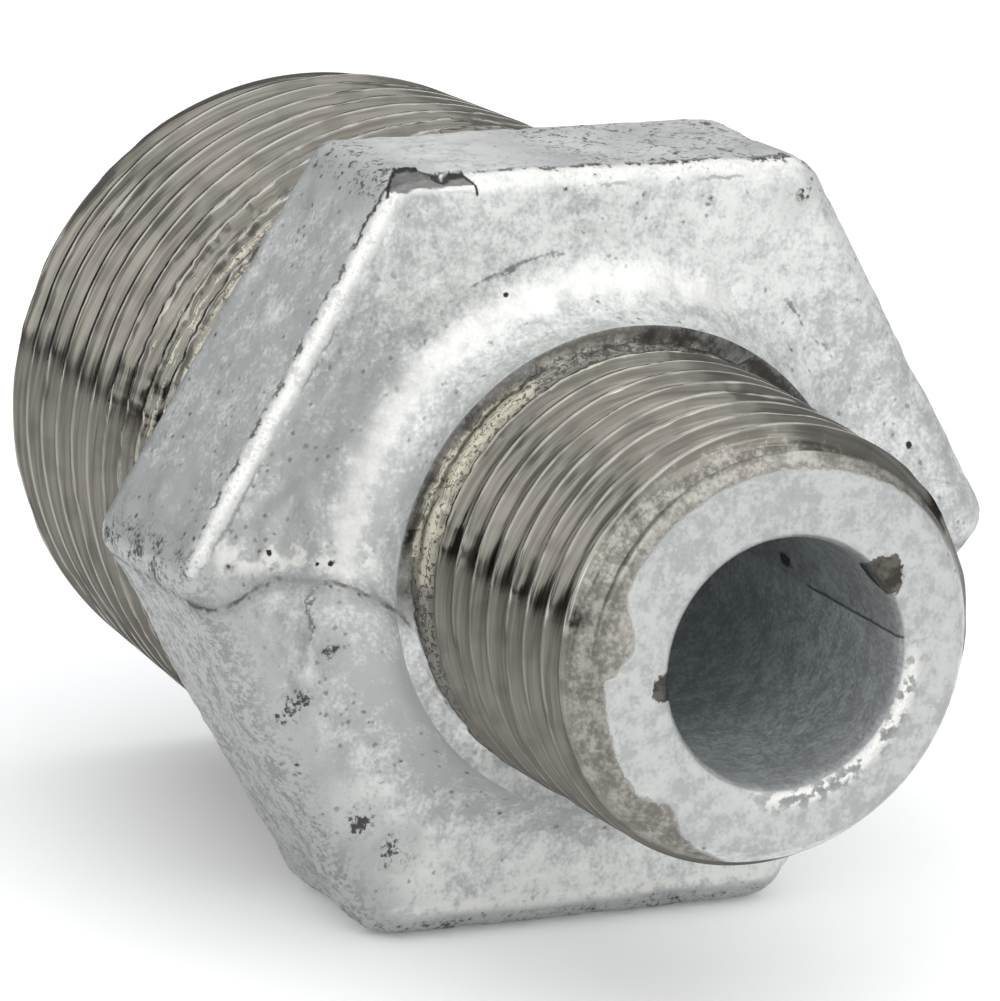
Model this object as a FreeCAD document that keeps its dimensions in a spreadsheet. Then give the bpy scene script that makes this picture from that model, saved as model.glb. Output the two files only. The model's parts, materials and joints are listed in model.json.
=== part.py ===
import FreeCAD, Part
import os
import Sketcher

# Reducing nipple: one malleable iron casting. A hexagon for the spanner carries a large male
# tapered end on one side and a small male tapered end on the other, and a stepped bore runs
# through all three. The axis lies along X with the small end towards +X. The hexagon rests
# on its bottom flat at Z = 0, and X = 0 is halfway along the nipple.
# The mould parts in the horizontal plane through the axis, so both faces of the hexagon lean
# back from that plane. The tapered ends are modelled at the crest of their threads.

SIZES = (
    ("across_flats", 37.0, "hexagon, flat to flat"),
    ("hexagon_width", 11.5, "hexagon along the axis, at the parting plane"),
    ("mould_draft", 1.5, "lean of each hexagon face from the parting plane, degrees"),
    ("hexagon_corner_radius", 2.0, "rounding of the six corners"),
    ("hexagon_edge_radius", 1.3, "rounding between the flats and the faces"),
    ("thread_taper", 0.0625, "taper of both ends, on the diameter"),
    ("large_gauge_diameter", 33.249, "large end, crest diameter at its gauge plane"),
    ("large_gauge_length", 10.4, "large end, from its face to its gauge plane"),
    ("large_end_length", 24.0, "large end, from its face to the hexagon"),
    ("large_end_chamfer", 0.8, "lead of the large end"),
    ("small_gauge_diameter", 20.955, "small end, crest diameter at its gauge plane"),
    ("small_gauge_length", 8.2, "small end, from its face to its gauge plane"),
    ("small_end_length", 19.5, "small end, from its face to the hexagon"),
    ("small_end_chamfer", 1.2, "lead of the small end"),
    ("neck_diameter", 23.3, "cast neck between the hexagon and the small end"),
    ("neck_length", 3.0, "cast neck, from the hexagon to its shoulder"),
    ("neck_shoulder", 0.8, "slope from the neck down to the thread, along the axis"),
    ("neck_root_radius", 2.6, "hollow rounding where the neck leaves the hexagon"),
    ("small_bore_diameter", 11.4, "bore of the small end and of the hexagon"),
    ("large_bore_diameter", 24.4, "bore of the large end"),
    ("large_bore_depth", 20.0, "large bore, from its face to the start of the cone"),
    ("bore_cone_length", 9.5, "cone between the two bores"),
    ("bore_blend_radius", 2.0, "rounding at both ends of the cone"),
    ("bore_mouth_chamfer", 0.4, "broken edge at both mouths of the bore"),
)


# Expressions shared by the outlines. X is measured from the hexagon's middle plane.
HEXAGON_FACE = "sizes.hexagon_width / 2"
LARGE_FACE = "-(sizes.hexagon_width / 2 + sizes.large_end_length)"
SMALL_FACE = "sizes.hexagon_width / 2 + sizes.small_end_length"
CORNER_REACH = "sizes.across_flats / sqrt(3)"
OUTSIDE = "2 * sizes.across_flats"

# Two places closer than this many millimetres count as one.
SAME_PLACE = 0.001

# Most of the neck's length that the rounding at its root may take.
ROOT_SHARE = 0.9


def fill_sheet(doc):
    """Driving dimensions, in millimetres, one named cell each."""
    sheet = doc.addObject("Spreadsheet::Sheet", "sizes")
    for row, (alias, number, meaning) in enumerate(SIZES, start=1):
        sheet.set(f"A{row}", alias)
        sheet.set(f"B{row}", str(number))
        sheet.setAlias(f"B{row}", alias)
        sheet.set(f"C{row}", meaning)
    doc.recompute()
    return sheet


def origin_feature(body, role):
    """Plane or axis of the body's own origin."""
    return next(item for item in body.Origin.OriginFeatures if item.Role == role)


def new_sketch(body, name, plane):
    sketch = body.newObject("Sketcher::SketchObject", name)
    sketch.AttachmentSupport = [(origin_feature(body, plane), "")]
    sketch.MapMode = "FlatFace"
    return sketch


def bind_start(sketch, edge, across, up):
    """Tie the start of an edge to two expressions, measured from the origin."""
    for kind, expression in (("DistanceX", across), ("DistanceY", up)):
        now = sketch.evalExpression(expression)
        index = sketch.addConstraint(Sketcher.Constraint(kind, -1, 1, edge, 1, now))
        name = f"{kind}_{edge}"
        sketch.renameConstraint(index, name)
        sketch.setExpression(f"Constraints.{name}", expression)


def add_outline(sketch, corners):
    """Closed outline of straight edges through corners given as pairs of expressions."""
    first = sketch.GeometryCount
    spots = [FreeCAD.Vector(sketch.evalExpression(across), sketch.evalExpression(up), 0)
             for across, up in corners]
    for number, spot in enumerate(spots):
        sketch.addGeometry(Part.LineSegment(spot, spots[(number + 1) % len(spots)]))
    for number, (across, up) in enumerate(corners):
        edge = first + number
        following = first + (number + 1) % len(corners)
        sketch.addConstraint(Sketcher.Constraint("Coincident", edge, 2, following, 1))
        bind_start(sketch, edge, across, up)


def nearest_the_axis(direction):
    """True for a direction that leans more to the axis than to either line across it."""
    return abs(direction.x) > max(abs(direction.y), abs(direction.z))


def runs_along_axis(shape, edge):
    return isinstance(edge.Curve, Part.Line) and nearest_the_axis(edge.Curve.Direction)


def borders_a_hexagon_face(shape, edge):
    """True for an edge between a face across the axis and a flat or corner beside it."""
    middle = edge.valueAt((edge.FirstParameter + edge.LastParameter) / 2)
    normals = [face.normalAt(*face.Surface.parameter(middle))
               for face in shape.ancestorsOfType(edge, Part.Face)]
    return sum(nearest_the_axis(normal) for normal in normals) == 1


def circle_about_axis(radius, place):
    """Test for a circle of this radius about the axis, at this place along it."""
    def wanted(shape, edge):
        return (isinstance(edge.Curve, Part.Circle)
                and abs(edge.Curve.Radius - radius) < SAME_PLACE
                and abs(edge.Curve.Center.x - place) < SAME_PLACE)
    return wanted


def cylinder_meets_flat(radius):
    """Test for an edge between a cylinder of this radius and a flat face."""
    def wanted(shape, edge):
        surfaces = [face.Surface for face in shape.ancestorsOfType(edge, Part.Face)]
        return (any(isinstance(surface, Part.Plane) for surface in surfaces)
                and any(isinstance(surface, Part.Cylinder)
                        and abs(surface.Radius - radius) < SAME_PLACE for surface in surfaces))
    return wanted


def rounding(body, base, name, radius, wanted):
    """Fillet of those edges of a feature that pass a test."""
    body.Document.recompute()
    names = [f"Edge{number}" for number, edge in enumerate(base.Shape.Edges, start=1)
             if wanted(base.Shape, edge)]
    fillet = body.newObject("PartDesign::Fillet", name)
    fillet.Base = (base, names)
    fillet.setExpression("Radius", radius)
    return fillet


def large_crest(distance):
    """Crest radius of the large end at a distance from its face."""
    return (f"(sizes.large_gauge_diameter + (({distance}) - sizes.large_gauge_length)"
            f" * sizes.thread_taper) / 2")


def small_crest(distance):
    """Crest radius of the small end at a distance from its face."""
    return (f"(sizes.small_gauge_diameter + (({distance}) - sizes.small_gauge_length)"
            f" * sizes.thread_taper) / 2")


def add_hexagon(body):
    """Hexagon with leaning faces, cut to its six flats and rounded like a casting."""
    side = new_sketch(body, "HexagonSide", "XZ_Plane")
    lean = f"{HEXAGON_FACE} - tan(sizes.mould_draft) * {CORNER_REACH}"
    add_outline(side, [
        (f"-({lean})", f"-{CORNER_REACH}"),
        (lean, f"-{CORNER_REACH}"),
        (HEXAGON_FACE, "0"),
        (lean, CORNER_REACH),
        (f"-({lean})", CORNER_REACH),
        (f"-{HEXAGON_FACE}", "0"),
    ])
    blank = body.newObject("PartDesign::Pad", "HexagonBlank")
    blank.Profile = side
    blank.SideType = "Symmetric"
    blank.setExpression("Length", OUTSIDE)

    flats = new_sketch(body, "HexagonFlats", "YZ_Plane")
    add_outline(flats, [
        (f"-{OUTSIDE}", f"-{OUTSIDE}"),
        (OUTSIDE, f"-{OUTSIDE}"),
        (OUTSIDE, OUTSIDE),
        (f"-{OUTSIDE}", OUTSIDE),
    ])
    add_outline(flats, [
        (CORNER_REACH, "0"),
        (f"{CORNER_REACH} / 2", "sizes.across_flats / 2"),
        (f"-{CORNER_REACH} / 2", "sizes.across_flats / 2"),
        (f"-{CORNER_REACH}", "0"),
        (f"-{CORNER_REACH} / 2", "-sizes.across_flats / 2"),
        (f"{CORNER_REACH} / 2", "-sizes.across_flats / 2"),
    ])
    trim = body.newObject("PartDesign::Pocket", "HexagonTrim")
    trim.Profile = flats
    trim.Type = "ThroughAll"
    trim.SideType = "Symmetric"
    body.Document.recompute()
    if not trim.Shape.Volume < blank.Shape.Volume:
        raise RuntimeError("the hexagon's flats cut nothing away")

    corners = rounding(body, trim, "HexagonCorners", "sizes.hexagon_corner_radius",
                       runs_along_axis)
    return rounding(body, corners, "HexagonEdges", "sizes.hexagon_edge_radius",
                    borders_a_hexagon_face)


def add_ends(body):
    """Both tapered ends and the cast neck, turned in one outline about the axis."""
    outline = new_sketch(body, "EndsOutline", "XZ_Plane")
    neck = "sizes.neck_diameter / 2"
    neck_end = "sizes.neck_length + sizes.neck_shoulder"
    thread_start = small_crest(f"sizes.small_end_length - ({neck_end})")
    add_outline(outline, [
        (LARGE_FACE, "0"),
        (SMALL_FACE, "0"),
        (SMALL_FACE, f"{small_crest('0')} - sizes.small_end_chamfer"),
        (f"{SMALL_FACE} - sizes.small_end_chamfer", small_crest("sizes.small_end_chamfer")),
        (f"{HEXAGON_FACE} + {neck_end}", thread_start),
        (f"{HEXAGON_FACE} + sizes.neck_length", neck),
        ("0", neck),
        ("0", large_crest("sizes.large_end_length")),
        (f"-{HEXAGON_FACE}", large_crest("sizes.large_end_length")),
        (f"{LARGE_FACE} + sizes.large_end_chamfer", large_crest("sizes.large_end_chamfer")),
        (LARGE_FACE, f"{large_crest('0')} - sizes.large_end_chamfer"),
    ])
    ends = body.newObject("PartDesign::Revolution", "Ends")
    ends.Profile = outline
    ends.ReferenceAxis = (outline, ["H_Axis"])
    ends.Angle = 360
    root = f"min(sizes.neck_root_radius; {ROOT_SHARE} * sizes.neck_length)"
    return rounding(body, ends, "NeckRoot", root, cylinder_meets_flat(ends.evalExpression(neck)))


def add_bore(body, solid):
    """Stepped bore with a rounded cone between its two diameters."""
    outline = new_sketch(body, "BoreOutline", "XZ_Plane")
    large = "sizes.large_bore_diameter / 2"
    small = "sizes.small_bore_diameter / 2"
    mouth = "sizes.bore_mouth_chamfer"
    cone_start = f"{LARGE_FACE} + sizes.large_bore_depth"
    cone_end = f"{cone_start} + sizes.bore_cone_length"
    add_outline(outline, [
        (LARGE_FACE, "0"),
        (SMALL_FACE, "0"),
        (SMALL_FACE, f"{small} + {mouth}"),
        (f"{SMALL_FACE} - {mouth}", small),
        (cone_end, small),
        (cone_start, large),
        (f"{LARGE_FACE} + {mouth}", large),
        (LARGE_FACE, f"{large} + {mouth}"),
    ])
    bore = body.newObject("PartDesign::Groove", "Bore")
    bore.Profile = outline
    bore.ReferenceAxis = (outline, ["H_Axis"])
    bore.Angle = 360
    body.Document.recompute()
    if not bore.Shape.Volume < solid.Shape.Volume:
        raise RuntimeError("the bore cut nothing away")

    at_large = circle_about_axis(bore.evalExpression(large), bore.evalExpression(cone_start))
    at_small = circle_about_axis(bore.evalExpression(small), bore.evalExpression(cone_end))
    return rounding(body, bore, "BoreBlends", "sizes.bore_blend_radius",
                    lambda shape, edge: at_large(shape, edge) or at_small(shape, edge))


def build_nipple(doc):
    body = doc.addObject("PartDesign::Body", "reducing_nipple")
    body.Label = "reducing_nipple"
    add_hexagon(body)
    solid = add_ends(body)
    doc.recompute()
    add_bore(body, solid)
    body.setExpression("Placement.Base.x",
                       "(sizes.large_end_length - sizes.small_end_length) / 2")
    body.setExpression("Placement.Base.z", "sizes.across_flats / 2")
    doc.recompute()
    return body


def check(doc, pieces):
    """Stop on a failed feature or a shape that isn't one sound solid."""
    for item in doc.Objects:
        if {"Invalid", "Error"} & set(item.State):
            raise RuntimeError(f"{item.Name} failed: {item.State}")
    for piece in pieces:
        shape = piece.Shape
        if shape.isNull() or not shape.isValid() or len(shape.Solids) != 1:
            raise RuntimeError(f"{piece.Label} isn't one sound solid")


def write(pieces):
    os.makedirs("parts", exist_ok=True)
    for piece in pieces:
        piece.Shape.exportStep(os.path.join("parts", f"{piece.Label}.step"))


def main():
    doc = FreeCAD.newDocument("reducing_nipple")
    fill_sheet(doc)
    pieces = [build_nipple(doc)]
    check(doc, pieces)
    write(pieces)
    for piece in pieces:
        centre = piece.Shape.CenterOfGravity
        box = piece.Shape.BoundBox
        print(f"{piece.Label}: volume {piece.Shape.Volume:.1f} mm3, centre of mass"
              f" ({centre.x:.2f}, {centre.y:.2f}, {centre.z:.2f}), box"
              f" {box.XMin:.2f} to {box.XMax:.2f}, {box.YMin:.2f} to {box.YMax:.2f},"
              f" {box.ZMin:.2f} to {box.ZMax:.2f}")


main()
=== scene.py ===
"""Dresses a galvanised reducing nipple: its cast skin, two cut threads, finish and studio."""

import json
import math
from types import SimpleNamespace

import bmesh
import bpy
import numpy as np
from bpy.props import FloatProperty, FloatVectorProperty, IntProperty, PointerProperty
from bpy.types import Operator, Panel, PropertyGroup
from mathutils import Matrix, Vector


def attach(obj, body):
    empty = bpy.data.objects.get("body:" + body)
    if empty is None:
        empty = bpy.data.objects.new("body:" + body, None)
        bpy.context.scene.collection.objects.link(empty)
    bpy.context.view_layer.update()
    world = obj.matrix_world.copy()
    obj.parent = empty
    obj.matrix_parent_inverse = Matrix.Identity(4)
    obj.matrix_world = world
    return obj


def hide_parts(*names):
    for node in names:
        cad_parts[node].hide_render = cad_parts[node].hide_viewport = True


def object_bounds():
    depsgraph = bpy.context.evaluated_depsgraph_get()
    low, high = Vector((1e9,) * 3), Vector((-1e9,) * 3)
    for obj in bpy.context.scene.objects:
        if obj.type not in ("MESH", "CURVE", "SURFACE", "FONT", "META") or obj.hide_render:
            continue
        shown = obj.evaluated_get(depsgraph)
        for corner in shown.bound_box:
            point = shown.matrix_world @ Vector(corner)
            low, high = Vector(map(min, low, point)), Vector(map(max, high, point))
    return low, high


bl_info = {
    "name": "Reducing nipple",
    "version": (1, 0, 0),
    "blender": (4, 5, 0),
    "location": "3D View > Sidebar > Nipple",
    "description": "Makes a galvanised pipe nipple with two cut threads, and a studio round it",
    "category": "Add Mesh",
}

MM = 0.001
NODE = "reducing_nipple"
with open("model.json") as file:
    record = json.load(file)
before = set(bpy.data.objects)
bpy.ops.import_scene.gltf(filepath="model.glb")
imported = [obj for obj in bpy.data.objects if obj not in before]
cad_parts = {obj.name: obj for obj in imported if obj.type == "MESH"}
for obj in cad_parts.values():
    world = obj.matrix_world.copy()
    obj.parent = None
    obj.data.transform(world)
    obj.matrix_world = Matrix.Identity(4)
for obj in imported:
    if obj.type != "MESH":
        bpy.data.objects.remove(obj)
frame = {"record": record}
cad_low, cad_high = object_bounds()
mounts = {mount["name"]: mount for mount in frame["record"]["mounts"]}


def length(name, description, default):
    """A size in metres that a user can change."""
    return FloatProperty(name=name, description=description, default=default, unit="LENGTH", precision=5)


def degrees(name, description, default):
    """An angle, given in degrees."""
    return FloatProperty(name=name, description=description, default=math.radians(default),
                         unit="ROTATION")


def plain_number(name, description, default):
    """A number that no unit fits."""
    return FloatProperty(name=name, description=description, default=default)


def share(name, description, default):
    """A share, from 0 to 1."""
    return FloatProperty(name=name, description=description, default=default, min=0, max=1)


def colour(name, description, default):
    """A colour, in linear light."""
    return FloatVectorProperty(name=name, description=description, default=default, subtype="COLOR",
                               size=3, min=0, max=1)


class NippleSizes(PropertyGroup):
    """The casting. Its faces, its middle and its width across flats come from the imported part."""

    axis_height: length("Axis height", "The bore's axis above the floor", cad_high.z / 2)
    small_face: length("Small face", "Place of the small end's face", cad_high.x)
    large_face: length("Large face", "Place of the large end's face", cad_low.x)
    hexagon_middle: length("Hexagon middle", "Place of the hexagon's middle",
                           mounts["rest_flat"]["pos_m"][0])
    across_flats: length("Across flats", "Hexagon, flat to flat", cad_high.z - cad_low.z)
    hexagon_width: length("Hexagon width", "Hexagon along the axis, at the parting plane", 11.5 * MM)
    mould_draft: degrees("Mould draft", "Lean of the hexagon's faces", 1.5)
    back_edge_radius: length("Back edge radius", "Rounding behind the hexagon's flats", 1.3 * MM)
    neck_radius: length("Neck radius", "Cast neck beside the hexagon", 11.65 * MM)
    neck_length: length("Neck length", "Cast neck along the axis", 3.0 * MM)
    neck_shoulder: length("Neck shoulder", "Slope from the neck down to the thread", 0.8 * MM)
    neck_root_radius: length("Neck root radius", "Hollow rounding at the neck's root", 2.9 * MM)
    small_bore: length("Small bore", "Radius of the bore in the small end", 5.7 * MM)
    large_bore: length("Large bore", "Radius of the bore in the large end", 12.2 * MM)
    large_bore_depth: length("Large bore depth", "From the large face to the cone", 20.0 * MM)
    bore_cone: length("Bore cone", "Cone between the two bores, along the axis", 9.5 * MM)
    bore_mouth: length("Bore mouth", "Broken edge at the bore's two mouths", 0.4 * MM)
    small_chamfer: length("Small chamfer", "Lead of the small end", 1.2 * MM)
    lead_skew: length("Lead skew", "How much longer the small lead is on one side", 0.9 * MM)
    lead_heading: degrees("Lead heading", "Angle of the small lead's wide side", 315)
    large_chamfer: length("Large chamfer", "Lead of the large end", 0.8 * MM)
    columns: IntProperty(name="Columns", description="Points round the axis, a multiple of six",
                         default=360, min=60)


class ThreadSizes(PropertyGroup):
    """The two tapered threads."""

    taper: share("Taper", "Taper of both threads on the radius", 1 / 32)
    small_pitch: length("Small pitch", "Pitch of the small thread", 25.4 / 14 * MM)
    small_depth: length("Small depth", "Depth of the small thread", 1.1 * MM)
    large_pitch: length("Large pitch", "Pitch of the large thread", 25.4 / 11 * MM)
    large_depth: length("Large depth", "Depth of the large thread", 1.4 * MM)
    crest_width: share("Crest width", "Flat of a crest, as a share of the pitch", 0.22)
    crest_wear: length("Crest wear", "How far the worst crests are torn down", 0.25 * MM)
    run_out: length("Run-out", "Where a thread grows to its full depth", 2.2 * MM)
    small_torn: length("Small torn length", "Torn first turns of the small thread", 3.4 * MM)
    large_torn: length("Large torn length", "Rough turns of the large thread", 13.0 * MM)
    small_torn_share: share("Small torn share", "Torn iron on the small thread's first turns", 1.0)
    large_torn_share: share("Large torn share", "Torn iron on the large thread's rough turns", 0.66)
    # Below this heading the crests' painted highlight is dimmed.
    underside_heading: degrees("Underside heading", "Where the smooth underside starts", 171.5)
    off_centre_y: length("Off centre Y", "The threads' axis against the casting's", -0.28 * MM)
    off_centre_z: length("Off centre Z", "The threads' axis against the casting's", 0.30 * MM)


class SkinSizes(PropertyGroup):
    """Relief of the cast surface, and the edge of the zinc on the small end's face."""

    hollow_depth: length("Hollow depth", "Depth of the broad hollows", 0.2 * MM)
    hollow_size: length("Hollow size", "Width of the broad hollows", 2.2 * MM)
    ripple_depth: length("Ripple depth", "Depth of the fine ripples", 0.16 * MM)
    ripple_size: length("Ripple size", "Width of the fine ripples", 0.9 * MM)
    parting_step: length("Parting step", "How far the lower half of the front stands back", 0.18 * MM)
    crease_depth: length("Crease depth", "Groove where the mould's halves met", 0.12 * MM)
    crease_width: plain_number("Crease width", "Half the width of the parting groove, in millimetres", 0.45)
    chip_depth: length("Chip depth", "Depth of the chip in the top flat", 0.25 * MM)
    zinc_edge: length("Zinc edge", "Radius of the zinc on the small end's face", 8.9 * MM)


class NippleFinish(PropertyGroup):
    """Colours of the zinc coat and of the bare iron."""

    zinc_light: colour("Light zinc", "Zinc where it is thick", (0.68, 0.69, 0.67))
    zinc_dark: colour("Dark zinc", "Zinc where it is thin", (0.38, 0.395, 0.39))
    zinc_face: colour("Zinc on the end face", "Dull white zinc", (0.46, 0.465, 0.455))
    # Pale colour of the painted highlight along the upper front edges and in the neck's root, and of the
    # thick zinc on the bore's rim.
    bead_and_highlight: colour("Thick zinc", "Bright zinc along the front edges", (0.72, 0.715, 0.68))
    # Dark zinc for dirt and rubbed spots, also used for painted shade in each crease, along cut iron and in
    # the bore.
    worn_zinc_and_shade: colour("Worn zinc", "Dirt and rubbed zinc", (0.11, 0.11, 0.105))
    bore_light: colour("Light bore", "Grey zinc in the bore", (0.55, 0.59, 0.60))
    bore_dark: colour("Dark bore", "Grey zinc in the bore", (0.30, 0.325, 0.33))
    # Pale crests: bare iron pale from wear, with a painted highlight.
    crest_iron_and_highlight: colour("Worn iron", "Bare iron on the crests", (0.80, 0.77, 0.69))
    iron_middle: colour("Cut iron", "Bare iron on the flanks", (0.215, 0.203, 0.177))
    iron_dark: colour("Dark iron", "Streaks on the flanks", (0.115, 0.108, 0.092))
    lead_light: colour("Lead", "Rough iron on the small end's lead", (0.46, 0.45, 0.41))
    torn_light: colour("Torn iron", "Torn iron beside the neck", (0.60, 0.57, 0.46))
    # Dark iron for dirt and stains, also used for painted shade in the threads' roots and along the coat's
    # edge.
    grime_and_root_shade: colour("Grime", "Roots of the threads", (0.05, 0.046, 0.04))
    # Near black for dirt in pits and specks, also used for painted shade in each crease, the pores and
    # along the chip's edge.
    pit_black_and_shade: colour("Pit", "Dirt in the pits", (0.012, 0.012, 0.012))


class StudioSettings(PropertyGroup):
    """Camera, floor and soft light from all round."""

    aim: FloatVectorProperty(name="Aim", description="Point in the middle of the picture",
                             default=(5.47 * MM, -4.09 * MM, 20.75 * MM), unit="LENGTH")
    azimuth: degrees("Azimuth", "Camera's turn from the -Y side towards +X", 65.234)
    elevation: degrees("Elevation", "Camera above the horizon", 14.52)
    roll: degrees("Roll", "Camera's turn about its own axis", 2.089)
    distance: length("Distance", "From the camera to the aim", 301.3 * MM)
    lens: FloatProperty(name="Lens", description="Focal length in millimetres", default=231.2,
                        unit="CAMERA")
    floor_colour: colour("Floor", "Pale floor", (0.93, 0.93, 0.93))
    floor_glow: share("Floor glow", "Light of the floor's own, which softens the shadow", 0.12)
    sky_light: plain_number("Sky light", "Soft light from all round", 0.75)
    sky_colour: colour("Sky colour", "Tint of the soft light from all round", (0.97, 0.985, 1.0))
    backdrop: share("Backdrop", "Light of the backdrop that the camera sees", 0.85)
    strip_light: plain_number("Strip light", "Light near the horizon", 0.05)
    strip_top: plain_number("Strip top", "Sine of the dark strip's height", 0.12)
    strip_blur: plain_number("Strip blur", "Half the width of the strip's soft edge", 0.05)


class Wire:
    """A number or vector in a node tree. Sums of wires add the nodes that work them out."""

    def __init__(self, wiring, socket):
        self.wiring = wiring
        self.socket = socket

    def __add__(self, other):
        return self.wiring.math("ADD", self, other)

    def __sub__(self, other):
        return self.wiring.math("SUBTRACT", self, other)

    def __rsub__(self, other):
        return self.wiring.math("SUBTRACT", other, self)

    def __mul__(self, other):
        return self.wiring.math("MULTIPLY", self, other)

    def __rmul__(self, other):
        return self.wiring.math("MULTIPLY", other, self)

    def __truediv__(self, other):
        return self.wiring.math("DIVIDE", self, other)

    def __rtruediv__(self, other):
        return self.wiring.math("DIVIDE", other, self)

    def __neg__(self):
        return self * -1.0

    def __abs__(self):
        return self.wiring.math("ABSOLUTE", self)


class Wiring:
    """Adds nodes to a geometry or shader tree and links them."""

    def __init__(self, tree):
        self.tree = tree

    def node(self, kind, **settings):
        made = self.tree.nodes.new(kind)
        for name, value in settings.items():
            setattr(made, name, value)
        return made

    def plug(self, socket, value):
        """Feed a wire, or set a plain value, into a node's input."""
        if isinstance(value, Wire):
            self.tree.links.new(value.socket, socket)
        else:
            socket.default_value = value

    def wire(self, node, output=0):
        return Wire(self, node.outputs[output])

    def math(self, operation, *values):
        node = self.node("ShaderNodeMath", operation=operation)
        for socket, value in zip(node.inputs, values):
            self.plug(socket, value)
        return self.wire(node)

    def lowest(self, first, *others):
        for other in others:
            first = self.math("MINIMUM", first, other)
        return first

    def highest(self, first, *others):
        for other in others:
            first = self.math("MAXIMUM", first, other)
        return first

    def over(self, value, limit):
        """1 where a value is over its limit, and 0 elsewhere."""
        return self.math("GREATER_THAN", value, limit)

    def under(self, value, limit):
        """1 where a value is under its limit, and 0 elsewhere."""
        return self.math("LESS_THAN", value, limit)

    def hypotenuse(self, first, second):
        """Distance from the origin of a place with these two parts."""
        return self.math("SQRT", first * first + second * second)

    def ramp(self, value, start, end, low=0.0, high=1.0, smooth=True):
        """low before start, high after end, and a slope between them."""
        node = self.node("ShaderNodeMapRange", interpolation_type="SMOOTHSTEP" if smooth else "LINEAR")
        for name, given in zip(("Value", "From Min", "From Max", "To Min", "To Max"),
                               (value, start, end, low, high)):
            self.plug(node.inputs[name], given)
        return self.wire(node)

    def fall(self, value, start, end):
        """1 before start, 0 after end."""
        return 1.0 - self.ramp(value, start, end)

    def far_from(self, vector, spot):
        """Distance of a vector from a fixed spot."""
        node = self.node("ShaderNodeVectorMath", operation="DISTANCE")
        self.plug(node.inputs[0], vector)
        self.plug(node.inputs[1], spot)
        return self.wire(node, 1)

    def split(self, vector):
        node = self.node("ShaderNodeSeparateXYZ")
        self.plug(node.inputs[0], vector)
        return [self.wire(node, axis) for axis in range(3)]

    def join(self, x, y, z):
        node = self.node("ShaderNodeCombineXYZ")
        for socket, value in zip(node.inputs, (x, y, z)):
            self.plug(socket, value)
        return self.wire(node)

    def scaled(self, vector, factor):
        node = self.node("ShaderNodeVectorMath", operation="SCALE")
        self.plug(node.inputs[0], vector)
        self.plug(node.inputs["Scale"], factor)
        return self.wire(node)

    def shifted(self, vector, amount):
        """A vector moved along its diagonal, which turns one pattern into another."""
        node = self.node("ShaderNodeVectorMath", operation="ADD")
        self.plug(node.inputs[0], vector)
        self.plug(node.inputs[1], self.join(amount, amount, amount))
        return self.wire(node)

    def near(self, value, middle, reach):
        """1 at a middle value, falling to 0 at its reach on both sides."""
        return self.fall(abs(value - middle), 0.0, reach)

    def stroke(self, distance, reach):
        """1 on a line, falling to 0 at its reach."""
        return self.fall(abs(distance), reach * 0.25, reach)

    def traced(self, value, spots):
        """A number that follows a line through some spots, each a value and the number there."""
        starts, numbers = zip(*spots)
        low, span = min(numbers), max(numbers) - min(numbers)
        reach = starts[-1] - starts[0]
        node = self.node("ShaderNodeFloatCurve")
        points = node.mapping.curves[0].points
        for _ in spots[2:]:
            points.new(0.5, 0.5)
        for point, (start, number) in zip(points, spots):
            point.location = ((start - starts[0]) / reach, (number - low) / span)
            point.handle_type = "VECTOR"
        node.mapping.update()
        self.plug(node.inputs["Value"], (value - starts[0]) / reach)
        return self.wire(node) * span + low

    def attribute(self, name):
        """The three numbers of a named attribute in a shader."""
        return self.split(self.wire(self.node("ShaderNodeAttribute", attribute_name=name), 1))

    def keep(self, geometry, name, vector, selection=True):
        """Store a vector on the points of a mesh, under a name that the finish reads."""
        node = self.node("GeometryNodeStoreNamedAttribute", data_type="FLOAT_VECTOR")
        for label, given in (("Geometry", geometry), ("Name", name), ("Selection", selection),
                             ("Value", vector)):
            self.plug(node.inputs[label], given)
        return self.wire(node)

    def placed(self, geometry, label, vector):
        """Set the position, or an offset, of a mesh's points."""
        node = self.node("GeometryNodeSetPosition")
        self.plug(node.inputs["Geometry"], geometry)
        self.plug(node.inputs[label], vector)
        return self.wire(node)

    def noise(self, vector, scale, detail=2.0, roughness=0.5, seed=0.0):
        """Smooth noise about a half."""
        node = self.node("ShaderNodeTexNoise")
        for name, given in (("Vector", self.shifted(vector, seed)), ("Scale", scale),
                            ("Detail", detail), ("Roughness", roughness)):
            self.plug(node.inputs[name], given)
        return self.wire(node)

    def cells(self, vector, scale, seed=0.0):
        """Distance to the nearest of some scattered points, and a random number for that point."""
        node = self.node("ShaderNodeTexVoronoi")
        for name, given in (("Vector", self.shifted(vector, seed)), ("Scale", scale)):
            self.plug(node.inputs[name], given)
        return self.wire(node), self.split(self.wire(node, 1))[0]

    def mix(self, factor, first, second):
        """A colour between two colours."""
        node = self.node("ShaderNodeMix", data_type="RGBA")
        self.plug(node.inputs["Factor"], factor)
        for socket, given in ((node.inputs[6], first), (node.inputs[7], second)):
            self.plug(socket, given if isinstance(given, Wire) else (*given, 1.0))
        return self.wire(node, 2)

    def surface(self, base, roughness, metallic, height):
        """A shader with its colour, roughness and metal, and its relief in millimetres."""
        bump = self.node("ShaderNodeBump")
        bump.inputs["Distance"].default_value = MM
        self.plug(bump.inputs["Height"], height)
        shader = self.node("ShaderNodeBsdfPrincipled")
        for name, given in (("Base Color", base), ("Roughness", roughness), ("Metallic", metallic),
                            ("Normal", self.wire(bump))):
            self.plug(shader.inputs[name], given)
        return self.wire(shader)

    def overlaid(self, factor, under, over):
        """One shader lying over a share of another."""
        node = self.node("ShaderNodeMixShader")
        for socket, given in zip(node.inputs, (factor, under, over)):
            self.plug(socket, given)
        return self.wire(node)

    def blend(self, factor, first, second):
        """A number between two numbers."""
        return factor * (second - first) + first


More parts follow.
